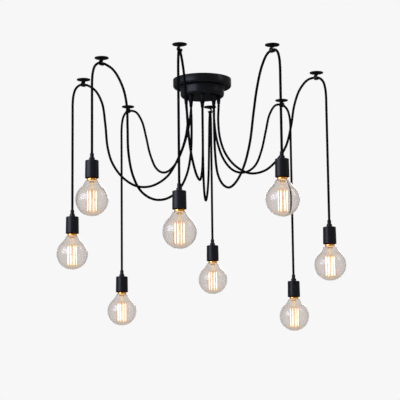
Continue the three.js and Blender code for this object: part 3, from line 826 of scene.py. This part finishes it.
faded = do_math(tree, (-5, 7), "MULTIPLY", pattern(tree, "Noise", (-6, 7), Scale=22.0, Detail=3.0), 0.2)
# The strands darken towards their edges, where they dip under the others: painted shade in the creases.
strand_colour_with_shade = blend_colours(tree, (-4, 0), crown, STRAND_CREASE_SHADE, STRAND_CROWN)
height = do_math(tree, (-4, 1), "MULTIPLY_ADD", fibres, 0.25, crown)
set_up(tree, shader, Base_Color=blend_colours(tree, (-3, 0), faded, strand_colour_with_shade, FADED),
       Normal=relief(tree, height, 0.8, 0.25 * MM),
       Roughness=do_math(tree, (-3, 3), "MULTIPLY_ADD", fibres, 0.3, 0.6),
       Specular_IOR_Level=0.0, Sheen_Weight=0.012, Sheen_Roughness=0.4)
for cord in cords:
    cord.data.materials.append(cord_cloth)
print(STRANDS_ROUND, "strands round,", round(math.tau * BRAID_RADIUS / STRANDS_ROUND / MM, 2), "mm each")

# %% [markdown]
# ## Glass and glowing filament
# The globes are clear glass with a faint rose-grey tint. A Layer Weight deepens the tint towards the outline,
# where light goes through more glass, and darkens it further still: painted shade at the rim. Surfaces that
# face down get a warm painted reflection of the filament's light, and the stem glass a faint painted glow.
# The filament glows: its emission is far brighter than white, so that the thin strands burn out in the middle
# and turn orange at their edges.

# %% Glass and filament finishes
WARM_LIGHT = (1.0, 0.70, 0.36, 1)
FILAMENT_POWER = 6.0


def glass_material(name, tint, rim_tint_and_shade, painted_warm_underside, falloff, index, painted_glow):
    """Clear glass, tinted in the middle, with painted shade at its outline, a painted warm underside and a
    painted glow.
    """
    material, tree, shader = new_material(name, tint, 0.4)
    slant = add_node(tree, "ShaderNodeLayerWeight", (-5, 0), Blend=0.5)
    # Painted shade: the colour darkens towards the outline, further than a longer path through the glass
    # would.
    edge = do_math(tree, (-4, 0), "POWER", slant.outputs["Facing"], falloff)
    # Painted warm reflection: faces that point down turn warm, as if lit by the filament.
    middle = blend_colours(tree, (-4, -1), share_facing(tree, (-6, -1), -0.55, -1.0), tint, painted_warm_underside)
    colour = blend_colours(tree, (-3, 0), edge, middle, rim_tint_and_shade)
    ripples = pattern(tree, "Noise", (-5, 2), Scale=38.0, Detail=2.0, Roughness=0.4)
    film = do_math(tree, (-4, 2), "MULTIPLY", ripples, 0.1)
    # The emission is a painted glow, as if the glass were lit by the filament.
    set_up(tree, shader, Base_Color=blend_colours(tree, (-2, 0), film, colour, rim_tint_and_shade),
           Normal=relief(tree, ripples, 0.012, 0.3 * MM), Roughness=0.0, Transmission_Weight=1.0, IOR=index,
           Coat_Weight=0.5, Coat_Roughness=0.25, Emission_Color=WARM_LIGHT, Emission_Strength=painted_glow)
    return material


globe_glass = glass_material("tinted_globe_glass", (0.85, 0.81, 0.785), (0.12, 0.10, 0.11),
                             (0.83, 0.70, 0.52), falloff=3.2, index=1.12, painted_glow=0.0)
# The stem glass gets a faint painted glow of warm light.
stem_glass = glass_material("warm_stem_glass_painted_glow", (0.98, 0.88, 0.66), (0.62, 0.42, 0.20),
                            (0.92, 0.72, 0.42), falloff=2.0, index=1.35, painted_glow=0.16)

glow, tree, shader = new_material("glowing_filament", (1, 0.7, 0.3))
coils = pattern(tree, "Wave", (-5, 0), bands_direction="Z", Scale=260.0, Distortion=0.4)
hot = blend_colours(tree, (-3, 0), coils, (1.0, 0.60, 0.24), (1.0, 0.80, 0.50))
glow_share = add_node(tree, "ShaderNodeAttribute", (-5, 2), attribute_name="glow_share").outputs["Fac"]
set_up(tree, shader, Emission_Color=blend_colours(tree, (-2, 0), glow_share, (0.16, 0.055, 0.010), hot),
       Emission_Strength=FILAMENT_POWER, Base_Color=(0.05, 0.03, 0.02, 1),
       Roughness=do_math(tree, (-3, 2), "MULTIPLY_ADD", coils, 0.2, 0.5))
print(len(bpy.data.materials), "finishes in all")

# %% [markdown]
# ## The canopy
# The canopy is pressed from 1.5 mm sheet in two tiers. Its outline is drawn once along the outside, with the
# big roundings of the pressing at the corners, spun round and given its wall with Solidify, inwards, so the
# outside keeps its measured size. The holes for the eight grips and for the locking screw and pin are
# drilled after.

# %% Canopy shell
CANOPY_SHEET = 1.5 * MM
SCREW_DEPTH = 13  # millimetres below the ceiling, as the numbers of an outline are
GRIP_HOLE, SCREW_HOLE = 5 * MM, 2.3 * MM  # radii

canopy = draw_outline("canopy", [(0, -56), (67.5, -56, 9), (67.5, -26, 3), (90, -26, 7), (90, 0)])
spin_round(canopy, 144)
apply_modifier(canopy, "SOLIDIFY", thickness=CANOPY_SHEET, offset=-1, use_even_offset=True)
holes = [drill(GRIP_HOLE, *[arm["grip_place"] - Vector((0, 0, depth * MM)) for depth in (60, 50)])
         for arm in ARMS]
holes += [drill(SCREW_HOLE, *in_mm((0, near, -SCREW_DEPTH), (0, near + 6, -SCREW_DEPTH)))
          for near in (86, -92)]
cut_away(canopy, holes)
round_edges(canopy, 0.35, 2, 50, shading=40)
keep(canopy, black_paint, CEILING, "black_paint", "canopy_shell")

# %% [markdown]
# ## The bracket, its screw and pin
# A steel strap is screwed to the ceiling, and its two turned-down ears hold the canopy. It is bent from flat
# stock, so it is modelled that way: an outline with rounded bends is drawn out to the strap's width and then
# gets its thickness. The locking screw and the locating pin stand for the way the canopy comes off.

# %% Bracket
STRAP_HALF, STRAP_WIDTH, EAR_HEIGHT = 87.2, 20, 16.8
STRAP_HOLES = (  # radius, place across the strap, from and to along it, from and to in height
    (2.5, 0, 35, 35, -4, 2), (2.1, 0, 80, 95, -SCREW_DEPTH, -SCREW_DEPTH), (1.9, 6.5, 52, 52, -4, 2))

bracket = pull_sheet("bracket", [(-STRAP_HALF, -EAR_HEIGHT), (-STRAP_HALF, 0, 3.5), (STRAP_HALF, 0, 3.5),
                                 (STRAP_HALF, -EAR_HEIGHT)], STRAP_WIDTH)
bracket.data.transform(Matrix.Rotation(math.pi / 2, 4, "Z"))
top_faces = [face.normal.z for face in bracket.data.polygons if face.center.z > -0.1 * MM]
downwards = -1 if top_faces[0] > 0 else 1
apply_modifier(bracket, "SOLIDIFY", thickness=2 * MM, offset=downwards, use_even_offset=True)
cut_away(bracket, [drill(radius * MM, *in_mm((across, side * near, low), (across, side * far, high)))
                   for radius, across, near, far, low, high in STRAP_HOLES for side in (-1, 1)])
round_edges(bracket, 0.3, 2, 40)
keep(bracket, zinc_steel, CEILING, "zinc_steel", "ceiling_bracket")

# %% Locking screw with a cross recess, and locating pin
screw = turn_on_lathe("locking_screw", [
    (0, 0), (1.6, 0), (2, 0.5), (2, 10), (2, 10.4), (4, 10.4, 0.3), (4, 12.2, 1), (0, 13.4)], 40)
for turned in (0, math.pi / 2):
    cut_away(screw, [add_box((0, 0, 13.4), (4.4, 0.8, 2.6), turned)])
pin = turn_on_lathe("locating_pin", [(0, 0), (2, 0), (2, 3.4, 0.6), (0, 3.9)], 32)
for piece, start, lean in ((screw, 79.9, -math.pi / 2), (pin, -85.9, math.pi / 2)):
    place = Vector((0, start * MM, -SCREW_DEPTH * MM))
    piece.data.transform(Matrix.Translation(place) @ Matrix.Rotation(lean, 4, "X"))
round_edges(screw, 0.1, 1, 50)
keep(screw, black_paint, CEILING, "black_paint", "canopy_screw")
keep(pin, black_paint, CEILING, "black_paint")

# %% [markdown]
# ## Cord grips
# Under the canopy each cord leaves through a moulded grip: a flange with a grooved edge, then a tapered boot
# with rings cut into it, so that the cord bends gently at its mouth. A six-sided nut holds it from inside.
# Boot and nut are hollow all the way, with the cord inside.

# %% Grip and nut
BORE = 3.8
GRIP_OUTLINE = [
    (BORE, -76.3), (4.8, -76.3, 0.3), (5.2, -74.6, 0.3), (5.2, -73.4), (4.8, -73.1), (4.8, -72.3),
    (5.45, -72.0), (5.45, -70.6), (5.05, -70.3), (5.05, -69.5), (5.7, -69.2), (5.7, -67.8), (5.3, -67.5),
    (5.3, -66.7), (5.95, -66.4), (5.95, -65.0), (5.55, -64.7), (5.55, -63.9), (6.2, -63.5),
    (6.3, -61.2, 0.3), (7.2, -60.5, 0.3), (7.2, -56.7, 0.4), (4.7, -56.3), (4.7, -47.5), (4.4, -47.0),
    (BORE, -47.0), (BORE, -76.3)]

grip = turn_on_lathe("grip_model", GRIP_OUTLINE, 48, 30)
press_grooves(grip, depth=0.35, width=7.5, every=2, radius=7.1, slant=0.3)
set_on_arms(grip, black_nylon, "grip", CEILING, "cord_grip", "grip_place")

select_nothing()
bpy.ops.mesh.primitive_cylinder_add(vertices=6, radius=7.5 * MM, depth=4 * MM, location=(0, 0, -52.2 * MM))
nut = bpy.context.object
nut.name = nut.data.name = "nut_model"
bpy.ops.object.transform_apply(location=True)
cut_away(nut, [drill(4.75 * MM, *in_mm((0, 0, -56), (0, 0, -48)), 40)])
round_edges(nut, 0.5, 3, 45, shading=40)
set_on_arms(nut, black_nylon, "grip_nut", CEILING, None, "grip_place",
            [math.radians(arm["grip"] * 1.7) for arm in ARMS])

# %% [markdown]
# ## Ceiling hooks
# A hook is a shallow round plate with a boss, and a broad band that swings to one side and runs round under
# the cord, like a finger. The band is bent from a strip: its middle line is drawn first, then pulled out to
# its width, thickened, and its edges rounded. The cord lies in the bend with a little room at both sides.

# %% Hook
BAND_WIDTH, BAND_THICK = 11.5, 3.4
EYE, EYE_DEPTH = 6.2, 15.7  # radius of the band's middle line round the cord, and how deep its centre is

plate = turn_on_lathe("hook_model", [
    (0, -0.7), (18.6, -0.5, 0.3), (19.2, 0, 0.2), (20.8, 0, 0.25), (20.8, -2.5, 0.7), (15, -4.0, 3),
    (8.0, -5.0, 1.5), (7.0, -6.8, 0.8), (0, -7.2)], 72, 30)
guides = [Vector((0, -5.5)), Vector((0, -10)), Vector((-EYE, -9.5)), Vector((-EYE, -EYE_DEPTH))]
band = []
for step in range(13):
    t = step / 12
    near, over, far = [here.lerp(there, t) for here, there in zip(guides, guides[1:])]
    band.append(tuple(near.lerp(over, t).lerp(over.lerp(far, t), t)))
for step in range(1, 19):
    angle = math.pi * step / 18
    band.append((-EYE * math.cos(angle), -EYE_DEPTH - EYE * math.sin(angle)))
band.append((EYE, 0.4 - EYE_DEPTH))
strip = pull_sheet("hook_band", band, BAND_WIDTH)
apply_modifier(strip, "SOLIDIFY", thickness=BAND_THICK * MM, offset=0)
round_edges(strip, 1.1, 4, 50, shading=50)
hook = join_pieces("hook_model", [plate, strip])
set_on_arms(hook, black_paint, "hook", CEILING, "ceiling_hook", "hook_place",
            [math.atan2(arm["outward"].y, arm["outward"].x) + math.pi / 2 + math.radians(arm["turn"])
             for arm in ARMS])

# %% [markdown]
# ## Lamp sockets
# The socket is a moulded cup with a slightly tapered side. On its top a stepped collar grips the cord, and
# the upper step has fine grooves for the fingers. The body is one outline from the roof of its bore, round
# the rim and up to the collar. The finger grooves are every third strip of faces, pushed in.

# %% Socket body
SOCKET_OUTLINE = [
    (0, 20.4), (14.9, 20.4), (14.9, 4), (16.8, 4), (16.8, 0.5, 0.2), (17.1, 0, 0.2), (19.6, 0, 0.3),
    (20, 0.6, 0.3), (19.95, 3.2), (19.7, 3.5), (19.7, 3.9), (19.93, 4.2), (19.27, 49.5), (19.25, 51, 4.2),
    (9.2, 51.3, 0.6), (8.25, 51.9, 0.4), (8.25, 59, 1), (5.75, 59.4, 0.3), (5.75, 70.6, 0.5), (4.9, 72, 0.4),
    (3.8, 72), (3.8, 64), (0, 64)]

socket = turn_on_lathe("socket_model", SOCKET_OUTLINE, 72, 30)
press_grooves(socket, depth=0.3, width=5, every=3, radius=5.5, slant=0.2, heights=(60, 70))
set_on_arms(socket, black_plastic, "socket", "hanging_lamp_N", "lamp_socket")

# %% [markdown]
# ## Screw threads
# A bulb's thread is a soft wave that climbs 3.6 mm with each turn. The wave of one pitch is drawn as an
# outline, and the Screw modifier spins and lifts it at the same time. The start and the end of the winding
# are hidden in the pieces above and below, as the rolled edge hides them on the real cap. The same tool makes
# the cap's thread and the socket's, which differ in radius, depth and number of turns.

# %% Winding a thread
PITCH = 3.629
THREAD_SHEET = 0.25 * MM


def wind_thread(name, crest, depth, bottom, turns):
    """A sheet-metal thread: crest radius, depth of the wave and lower end in millimetres."""
    wave = []
    for step in range(13):
        share = step / 12
        wave.append((crest - depth * (0.5 - 0.5 * math.cos(math.tau * share)), bottom + PITCH * share))
    thread = draw_outline(name, wave)
    apply_modifier(thread, "SCREW", axis="Z", angle=math.tau, screw_offset=PITCH * MM, iterations=turns,
                   steps=48, render_steps=48, use_merge_vertices=True, merge_threshold=MERGE_DISTANCE)
    merge_and_face_outwards(thread)
    apply_modifier(thread, "SOLIDIFY", thickness=THREAD_SHEET, offset=-1)
    smooth(thread, 60)
    return thread


# %% [markdown]
# ## Inside the socket
# A real socket holds a brass shell with a thread, a white porcelain insert behind it and a springy contact in
# the middle. They show when a bulb is screwed out.

# %% Socket thread and insert
shell = wind_thread("socket_thread_model", crest=14.6, depth=0.9, bottom=3.4, turns=3)
set_on_arms(shell, brass, "socket_thread", "hanging_lamp_N")
insert = turn_on_lathe("insert_model", [
    (0, 19.6), (4.2, 19.6), (4.6, 20.1), (9.8, 20.1), (10.4, 19.4, 0.3), (14.7, 19.4), (14.7, 18.2),
    (14.85, 18.2), (14.85, 20.35), (0, 20.35)])
set_on_arms(insert, porcelain, "socket_insert", "hanging_lamp_N")

# %% [markdown]
# ## Bulb caps
# The cap is a brass shell with a thread, a plain skirt under it and a rolled bead where it meets the glass.
# Above the thread a dark glass cone keeps the shell apart from the soldered contact at the tip.

# %% Cap shell, insulator and contact
SKIRT_OUTLINE = [
    (12.0, -1.2), (12.35, 0.4), (12.9, -0.8, 0.3), (14.0, -2.0, 0.4), (14.35, -3.5, 0.3), (14.4, -5.6, 0.2),
    (15.0, -6.0, 0.2), (15.0, -6.7, 0.25), (14.6, -7.0), (13.4, -7.0), (13.4, -3.2), (12.0, -1.2)]

skirt = turn_on_lathe("skirt", SKIRT_OUTLINE, 64, 40)
thread = wind_thread("cap_thread", crest=13.1, depth=1.0, bottom=-2.9, turns=4)
cap_edge = turn_on_lathe("cap_edge", [
    (12.0, 13.2), (12.9, 13.4, 0.2), (12.9, 14.2, 0.3), (11.4, 15.4), (11.0, 15.0), (12.0, 13.2)], 64, 40)
cap = join_pieces("cap_model", [skirt, thread, cap_edge])
set_on_arms(cap, brass, "bulb_cap", "bulb_cap_N", "bulb_base")
cone = turn_on_lathe("cone_model", [
    (0, 13.0), (11.6, 13.0), (11.6, 14.6), (10.8, 15.3, 0.5), (5.4, 18.4, 0.8), (4.7, 18.6), (4.7, 17.4),
    (0, 17.4)])
set_on_arms(cone, dark_insulator, "cap_insulator", "bulb_cap_N")
contact = turn_on_lathe("contact_model", [
    (0, 17.5), (4.4, 17.5), (4.5, 18.9, 0.5), (3.4, 19.7, 0.8), (0, 19.95)], 36)
set_on_arms(contact, tin, "cap_contact", "bulb_cap_N")

# %% [markdown]
# ## Globes
# The globe is a ball of glass that draws in to its neck with a long soft flare, and a small shoulder closes
# it at the cap. The arc of the flare is worked out so that it leaves the ball without a corner. The single
# wall is spun first, its normals are made to face outwards, and only then does Solidify give it one
# millimetre of thickness.

# %% Globe
GLOBE, NECK, FLARE = 47.5, 17.5, 40.0
GLOBE_MIDDLE = -BULB_DROP / MM
FLARE_TOP = -9.6
SHOULDER_OUTLINE = [(18.1, -8.6), (17.4, -7.8), (16.3, -7.35), (15.0, -7.2)]

flare_height = GLOBE_MIDDLE + math.sqrt((GLOBE + FLARE) ** 2 - (NECK + FLARE) ** 2)
touch = math.atan2(NECK + FLARE, flare_height - GLOBE_MIDDLE)
profile = []
for step in range(37):
    angle = (math.pi - touch) * step / 36
    profile.append((GLOBE * math.sin(angle), GLOBE_MIDDLE - GLOBE * math.cos(angle)))
top_angle = math.acos((flare_height - FLARE_TOP) / FLARE)
for step in range(1, 13):
    angle = touch + (top_angle - touch) * step / 12
    profile.append((NECK + FLARE - FLARE * math.sin(angle), flare_height - FLARE * math.cos(angle)))
globe = draw_outline("globe_model", profile + SHOULDER_OUTLINE)
spin_round(globe, 80)
apply_modifier(globe, "SOLIDIFY", thickness=1.0 * MM, offset=-1)
smooth(globe, 70)
set_on_arms(globe, globe_glass, "globe", "bulb_glass_N", "bulb_globe")

# %% [markdown]
# ## Stem, supports and filament
# Inside hangs the mount: a glass stem that is flared at the top and pinched flat at its lower end, and a
# glass rod with a button. Copper wires hold the filament, which runs up and down in a cage of eight upright
# strands. Every strand is joined to the next one over a hook, once above and once below.

# %% Stem and rod
PINCH_FROM, PINCH_MIDDLE = -28.5 * MM, -33 * MM

stem = turn_on_lathe("stem_model", [
    (0, -5.2), (13.5, -5.2), (13.5, -7.0, 0.3), (12.0, -8.0, 0.5), (9.4, -9.6, 1.0), (7.2, -13.2, 2.0),
    (5.8, -17, 2), (4.8, -23, 1), (4.2, -28, 1), (3.4, -33.5, 1), (0, -35.2)], 40, 60)
start_editing(stem)
choose(stem, "VERT", lambda middle, normal: middle.z < PINCH_FROM)
bpy.ops.transform.resize(value=(1.25, 0.55, 1), center_override=(0, 0, PINCH_MIDDLE))
stop_editing()
rod = turn_on_lathe("stem_rod", [
    (0, -34.6), (1.5, -34.6), (1.5, -92.2, 1.5), (2.5, -93.6, 1.0), (2.5, -95.6, 1.0), (0, -97.4)], 24, 60)
stem = join_pieces("stem_model", [stem, rod])

# %% Support wires and the leads
CAGE = 13.0
CAGE_TOP, CAGE_BOTTOM = -36.4, -97.6
STRANDS = 8
LEAD_SHOULDER, OUTSIDE, OUTER_SUPPORT = -63.5, 17.0, 3.5
SUPPORT_RADIUS, LEAD_RADIUS = 0.28 * MM, 0.45 * MM


def on_cage(place, height, radius=CAGE):
    """A point of the filament's cage, whose strands stand at the whole places."""
    angle = math.tau * place / STRANDS
    return Vector((radius * math.cos(angle), radius * math.sin(angle), height)) * MM


wires = []
for index in range(STRANDS - 1):
    place = index + 0.5
    if place == OUTER_SUPPORT:
        continue
    level, foot, bent_to = CAGE_BOTTOM + 0.4, CAGE_BOTTOM + 0.4 + 1.6, CAGE_BOTTOM + 1.0
    if index % 2 == 0:
        level, foot, bent_to = CAGE_TOP + 0.6, CAGE_TOP + 0.6 - 2.0, CAGE_TOP - 0.9
    points = [on_cage(place, foot, 0.9), on_cage(place, level, CAGE - 1.6), on_cage(place, level, CAGE + 0.2),
              on_cage(place, bent_to, CAGE + 0.9)]
    wires.append(bend_wire("support", smooth_path(points, 6), SUPPORT_RADIUS, 1, tip=True))
for side, place, strand_end in ((1, -0.3, 0), (-1, -0.7, -1), (0, OUTER_SUPPORT, OUTER_SUPPORT)):
    points = [on_cage(place, LEAD_SHOULDER + 6.2, 1.0)]
    if side:
        points = [Vector((side * 2.2, 0, -30)) * MM, Vector((side * 2.6, 0, -36)) * MM]
    points += [on_cage(place, LEAD_SHOULDER + rise, radius)
               for rise, radius in ((5.0, 2.6), (0.6, 4.4), (0, 9.0), (0, 15.0))]
    points += [on_cage(place, LEAD_SHOULDER - fall, OUTSIDE) for fall in (2.2, 10.0, 20.0)]
    points += [on_cage(place, CAGE_BOTTOM + 3.0, OUTSIDE), on_cage(place, CAGE_BOTTOM, OUTSIDE - 1.2),
               on_cage(strand_end, CAGE_BOTTOM + 0.2, CAGE)]
    wires.append(bend_wire("lead", smooth_path(points, 5), LEAD_RADIUS, 1, tip=True))
supports = join_pieces("supports_model", wires)

# %% Filament
TURN_ROOM = 2.2  # between the end of a straight strand and the crown of its turn
COOL_LENGTH = 6.0  # the filament glows less where its hooks take its heat away

strand = []
for index in range(STRANDS):
    heights, crown = [CAGE_BOTTOM + TURN_ROOM, CAGE_TOP - TURN_ROOM], CAGE_TOP
    if index % 2 == 1:
        heights, crown = heights[::-1], CAGE_BOTTOM
    strand += [on_cage(index, heights[0] + (heights[1] - heights[0]) * step / 8) for step in range(9)]
    if index < STRANDS - 1:
        side_height = heights[1] + (crown - heights[1]) * 0.72
        strand += [on_cage(index + share, height)
                   for share, height in ((0.12, side_height), (0.5, crown), (0.88, side_height))]
filament = bend_wire("filament_model", smooth_path(strand, 3), 0.55 * MM, 1)
glow_shares = filament.data.attributes.new("glow_share", "FLOAT", "POINT")
for vertex in filament.data.vertices:
    height = vertex.co.z / MM
    from_hook = min(height - CAGE_BOTTOM, CAGE_TOP - height)
    glow_shares.data[vertex.index].value = min(1.0, max(0.0, from_hook / COOL_LENGTH))

# %% Mounts into the eight bulbs, each turned its own way
MOUNT_TURNS = [math.radians(degrees) for degrees in (24, 20, 204, 201, 158, 26, 202, 111)]

for piece, finish, name, slot in ((stem, stem_glass, "bulb_stem", "bulb_glass"),
                                  (supports, copper, "filament_supports", "cap_brass"),
                                  (filament, glow, "filament", "cap_brass")):
    set_on_arms(piece, finish, name, "bulb_cap_N", turns=MOUNT_TURNS)

# %% [markdown]
# ## Inside the canopy
# Without a ceiling the light can be seen from above, so the inside is finished too. Each cord ends in a short
# trimmed length of sheath above its nut, with a brown and a blue wire. All the browns meet in one twist-on
# connector and all the blues in another, and one wire of each goes on to the terminal block on the strap.

# %% Terminal block
BLOCK_LENGTH, BLOCK_MIDDLE = 40, -10.3

block = add_box((0, 0, BLOCK_MIDDLE), (BLOCK_LENGTH, 17, 16))
block.name = block.data.name = "connector_block"
for gap in (-BLOCK_LENGTH / 6, BLOCK_LENGTH / 6):
    for side in (-1, 1):
        cut_away(block, [add_box((gap, side * 8.5, BLOCK_MIDDLE), (1.6, 7, 20))])
poles = [(pole + 0.5) * BLOCK_LENGTH / 3 - BLOCK_LENGTH / 2 for pole in range(3)]
screw_places = [(x, y) for x in poles for y in (-4, 4)]
cut_away(block, [drill(2.25 * MM, *in_mm((x, -10, BLOCK_MIDDLE), (x, 10, BLOCK_MIDDLE))) for x in poles])
cut_away(block, [drill(2.4 * MM, *in_mm((x, y, -20), (x, y, -13)), 24) for x, y in screw_places])
round_edges(block, 0.4, 2, 40)
keep(block, cream_plastic, CEILING, "white_plastic", "terminal_block")
model = turn_on_lathe("screw_model", [(0, -13.2), (2.1, -13.2), (2.1, -15.4, 0.4), (0, -15.6)], 24)
cut_away(model, [add_box((0, 0, -15.6), (6, 0.6, 1.4))])
screws = [set_copy(model, "terminal_screw", Vector((x * MM, y * MM, 0)), 0.4 * x) for x, y in screw_places]
bpy.data.objects.remove(model)
screws = join_pieces("terminal_screws", screws)
smooth(screws)
keep(screws, brass, CEILING, "cap_brass")

# %% Sheath ends, wires and connectors
NUT_TOP = -47.0
CONNECTORS = (("brown", brown_cover, Vector((27, 3, -27)) * MM, poles[2], -1),
              ("blue", blue_cover, Vector((-27, -3, -27)) * MM, poles[0], 1))
WIRE_LIFT, INTO_CONNECTOR = Vector((0, 0, 3 * MM)), Vector((0, 0, -6 * MM))

sheath = turn_on_lathe("sheath_model", [
    (0, -58), (3.4, -58), (3.4, NUT_TOP + 2.5), (3.65, NUT_TOP + 2.8, 0.3), (3.65, NUT_TOP + 8.0, 0.6),
    (2.6, NUT_TOP + 8.6), (0, NUT_TOP + 8.6)], 32)
set_on_arms(sheath, carbon_black, "sheath_end", CEILING, None, "grip_place")
for colour, finish, mouth, pole, side in CONNECTORS:
    leads = []
    for index, arm in enumerate(ARMS):
        beside = arm["outward"].cross(Vector((0, 0, 1))) * (1.5 * side) * MM
        start = arm["grip_place"] + Vector((0, 0, (NUT_TOP + 8.2) * MM)) + beside
        angle = math.tau * index / 8
        end = mouth + Vector((2.6 * math.cos(angle), 2.6 * math.sin(angle), 0)) * MM
        path = [start, start + WIRE_LIFT / 2, (start + end) / 2 + WIRE_LIFT, end + INTO_CONNECTOR, end]
        leads.append(bend_wire("lead", smooth_path(path, 8), 0.95 * MM, 2))
    path = [mouth, mouth - Vector((0, 0, 7 * MM))]
    path += [Vector(point) for point in in_mm((pole, side * 24, -24), (pole, side * 17, -11.5),
                                              (pole, side * 6, BLOCK_MIDDLE))]
    leads.append(bend_wire("lead", smooth_path(path, 8), 1.1 * MM, 2))
    keep(join_pieces(f"{colour}_wires", leads), finish, CEILING, "black_plastic")
    twist_cap = turn_on_lathe(f"{colour}_connector", [
        (0, 2.0), (4.2, 2.0), (4.3, -1.6), (6.4, -1.8, 0.4), (6.4, 2.5, 0.5), (5.9, 3.4), (4.6, 15.5, 1.5),
        (0, 17.0)], 24, 25)
    twist_cap.data.transform(Matrix.Translation(mouth))
    keep(twist_cap, cap_plastic, CEILING, "white_plastic")

# %% [markdown]
# ## Floor, lamps and background
# The light hangs in a plain white room. The floor is 2.4 m under the ceiling and only catches the shadow, and
# it can be looked through from below. A wide cool softbox at the left gives the blue-grey streak on the
# canopy and sockets, a narrow one at the right the small bright spots in the glass. The background is white
# for the camera and for what glass and metal show, while the room's own light stays at a plain level.

# %% Floor
FLOOR_DEPTH, FLOOR_SIZE = 2.4, 16


def seen_directly(tree):
    """One for rays that come from the camera, a reflection or a clear glass, and zero for all others."""
    path = add_node(tree, "ShaderNodeLightPath", (-4, 5))
    seen = do_math(tree, (-3, 5), "MAXIMUM", path.outputs["Is Camera Ray"], path.outputs["Is Glossy Ray"])
    return do_math(tree, (-2, 5), "MAXIMUM", seen, path.outputs["Is Transmission Ray"])


def mix_shaders(tree, share, first, second, output):
    either = add_node(tree, "ShaderNodeMixShader", (3, 0))
    for socket, value in zip(either.inputs, (share, first.outputs[0], second.outputs[0])):
        plug(tree, socket, value)
    tree.links.new(either.outputs[0], tree.nodes[output].inputs["Surface"])


select_nothing()
bpy.ops.mesh.primitive_plane_add(size=FLOOR_SIZE, location=(0, 0, -FLOOR_DEPTH))
floor = bpy.context.object
floor.name = "floor"
floor_finish, tree, shader = new_material("pale_floor", (0.8, 0.8, 0.8))
clouds = pattern(tree, "Noise", (-4, 0), Scale=1.3, Detail=5.0)
set_up(tree, shader, Base_Color=blend_colours(tree, (-2, 0), clouds, (0.80, 0.80, 0.80), (0.86, 0.86, 0.86)),
       Roughness=0.7, Emission_Color=(1, 1, 1, 1),
       Emission_Strength=do_math(tree, (-1, 5), "MULTIPLY", seen_directly(tree), 0.6))
see_through = add_node(tree, "ShaderNodeBsdfTransparent", (1, 2))
face_side = add_node(tree, "ShaderNodeNewGeometry", (0, 3))
mix_shaders(tree, face_side.outputs["Backfacing"], shader, see_through, "Material Output")
floor.data.materials.append(floor_finish)
print("floor", FLOOR_DEPTH, "m under the ceiling")

# %% Lamps
MIDDLE = Vector((0, 0, -0.35))


def softbox(name, place, width, height, power, colour):
    """A glowing rectangle that faces the middle of the light. The camera and clear glass don't see it."""
    light = bpy.data.lights.new(name, "AREA")
    light.shape, light.size, light.size_y = "RECTANGLE", width, height
    light.energy, light.color = power, colour
    lamp = bpy.data.objects.new(name, light)
    lamp.location = place
    lamp.rotation_euler = (MIDDLE - Vector(place)).to_track_quat("-Z", "Y").to_euler()
    lamp.visible_camera = lamp.visible_transmission = False
    bpy.context.scene.collection.objects.link(lamp)
    print(name, power, "W")


softbox("left_softbox", (-2.14, -1.48, 0.15), width=2.2, height=1.4, power=128, colour=(0.72, 0.79, 1.0))
softbox("right_strip", (2.3, -0.5, 1.0), width=0.32, height=1.4, power=18, colour=(1.0, 0.97, 0.93))
softbox("back_fill", (0.6, 2.6, 0.6), width=1.6, height=1.0, power=22, colour=(1.0, 0.98, 0.96))

# %% Background
ROOM_LIGHT = 0.36

world = bpy.data.worlds.new("white_room")
bpy.context.scene.world = world
world.use_nodes = True
tree = world.node_tree
room = set_up(tree, tree.nodes["Background"], Color=(1, 0.99, 0.98, 1), Strength=ROOM_LIGHT)
backdrop = add_node(tree, "ShaderNodeBackground", (0, 2), Color=(0.930, 0.930, 0.930, 1), Strength=1.0)
mix_shaders(tree, seen_directly(tree), room, backdrop, "World Output")
bpy.context.scene.view_settings.view_transform = "Standard"

# %% [markdown]
# ## The end
# The dressed light has to stay as big as the measured model, and nothing is left selected.

# %% The end
select_nothing()
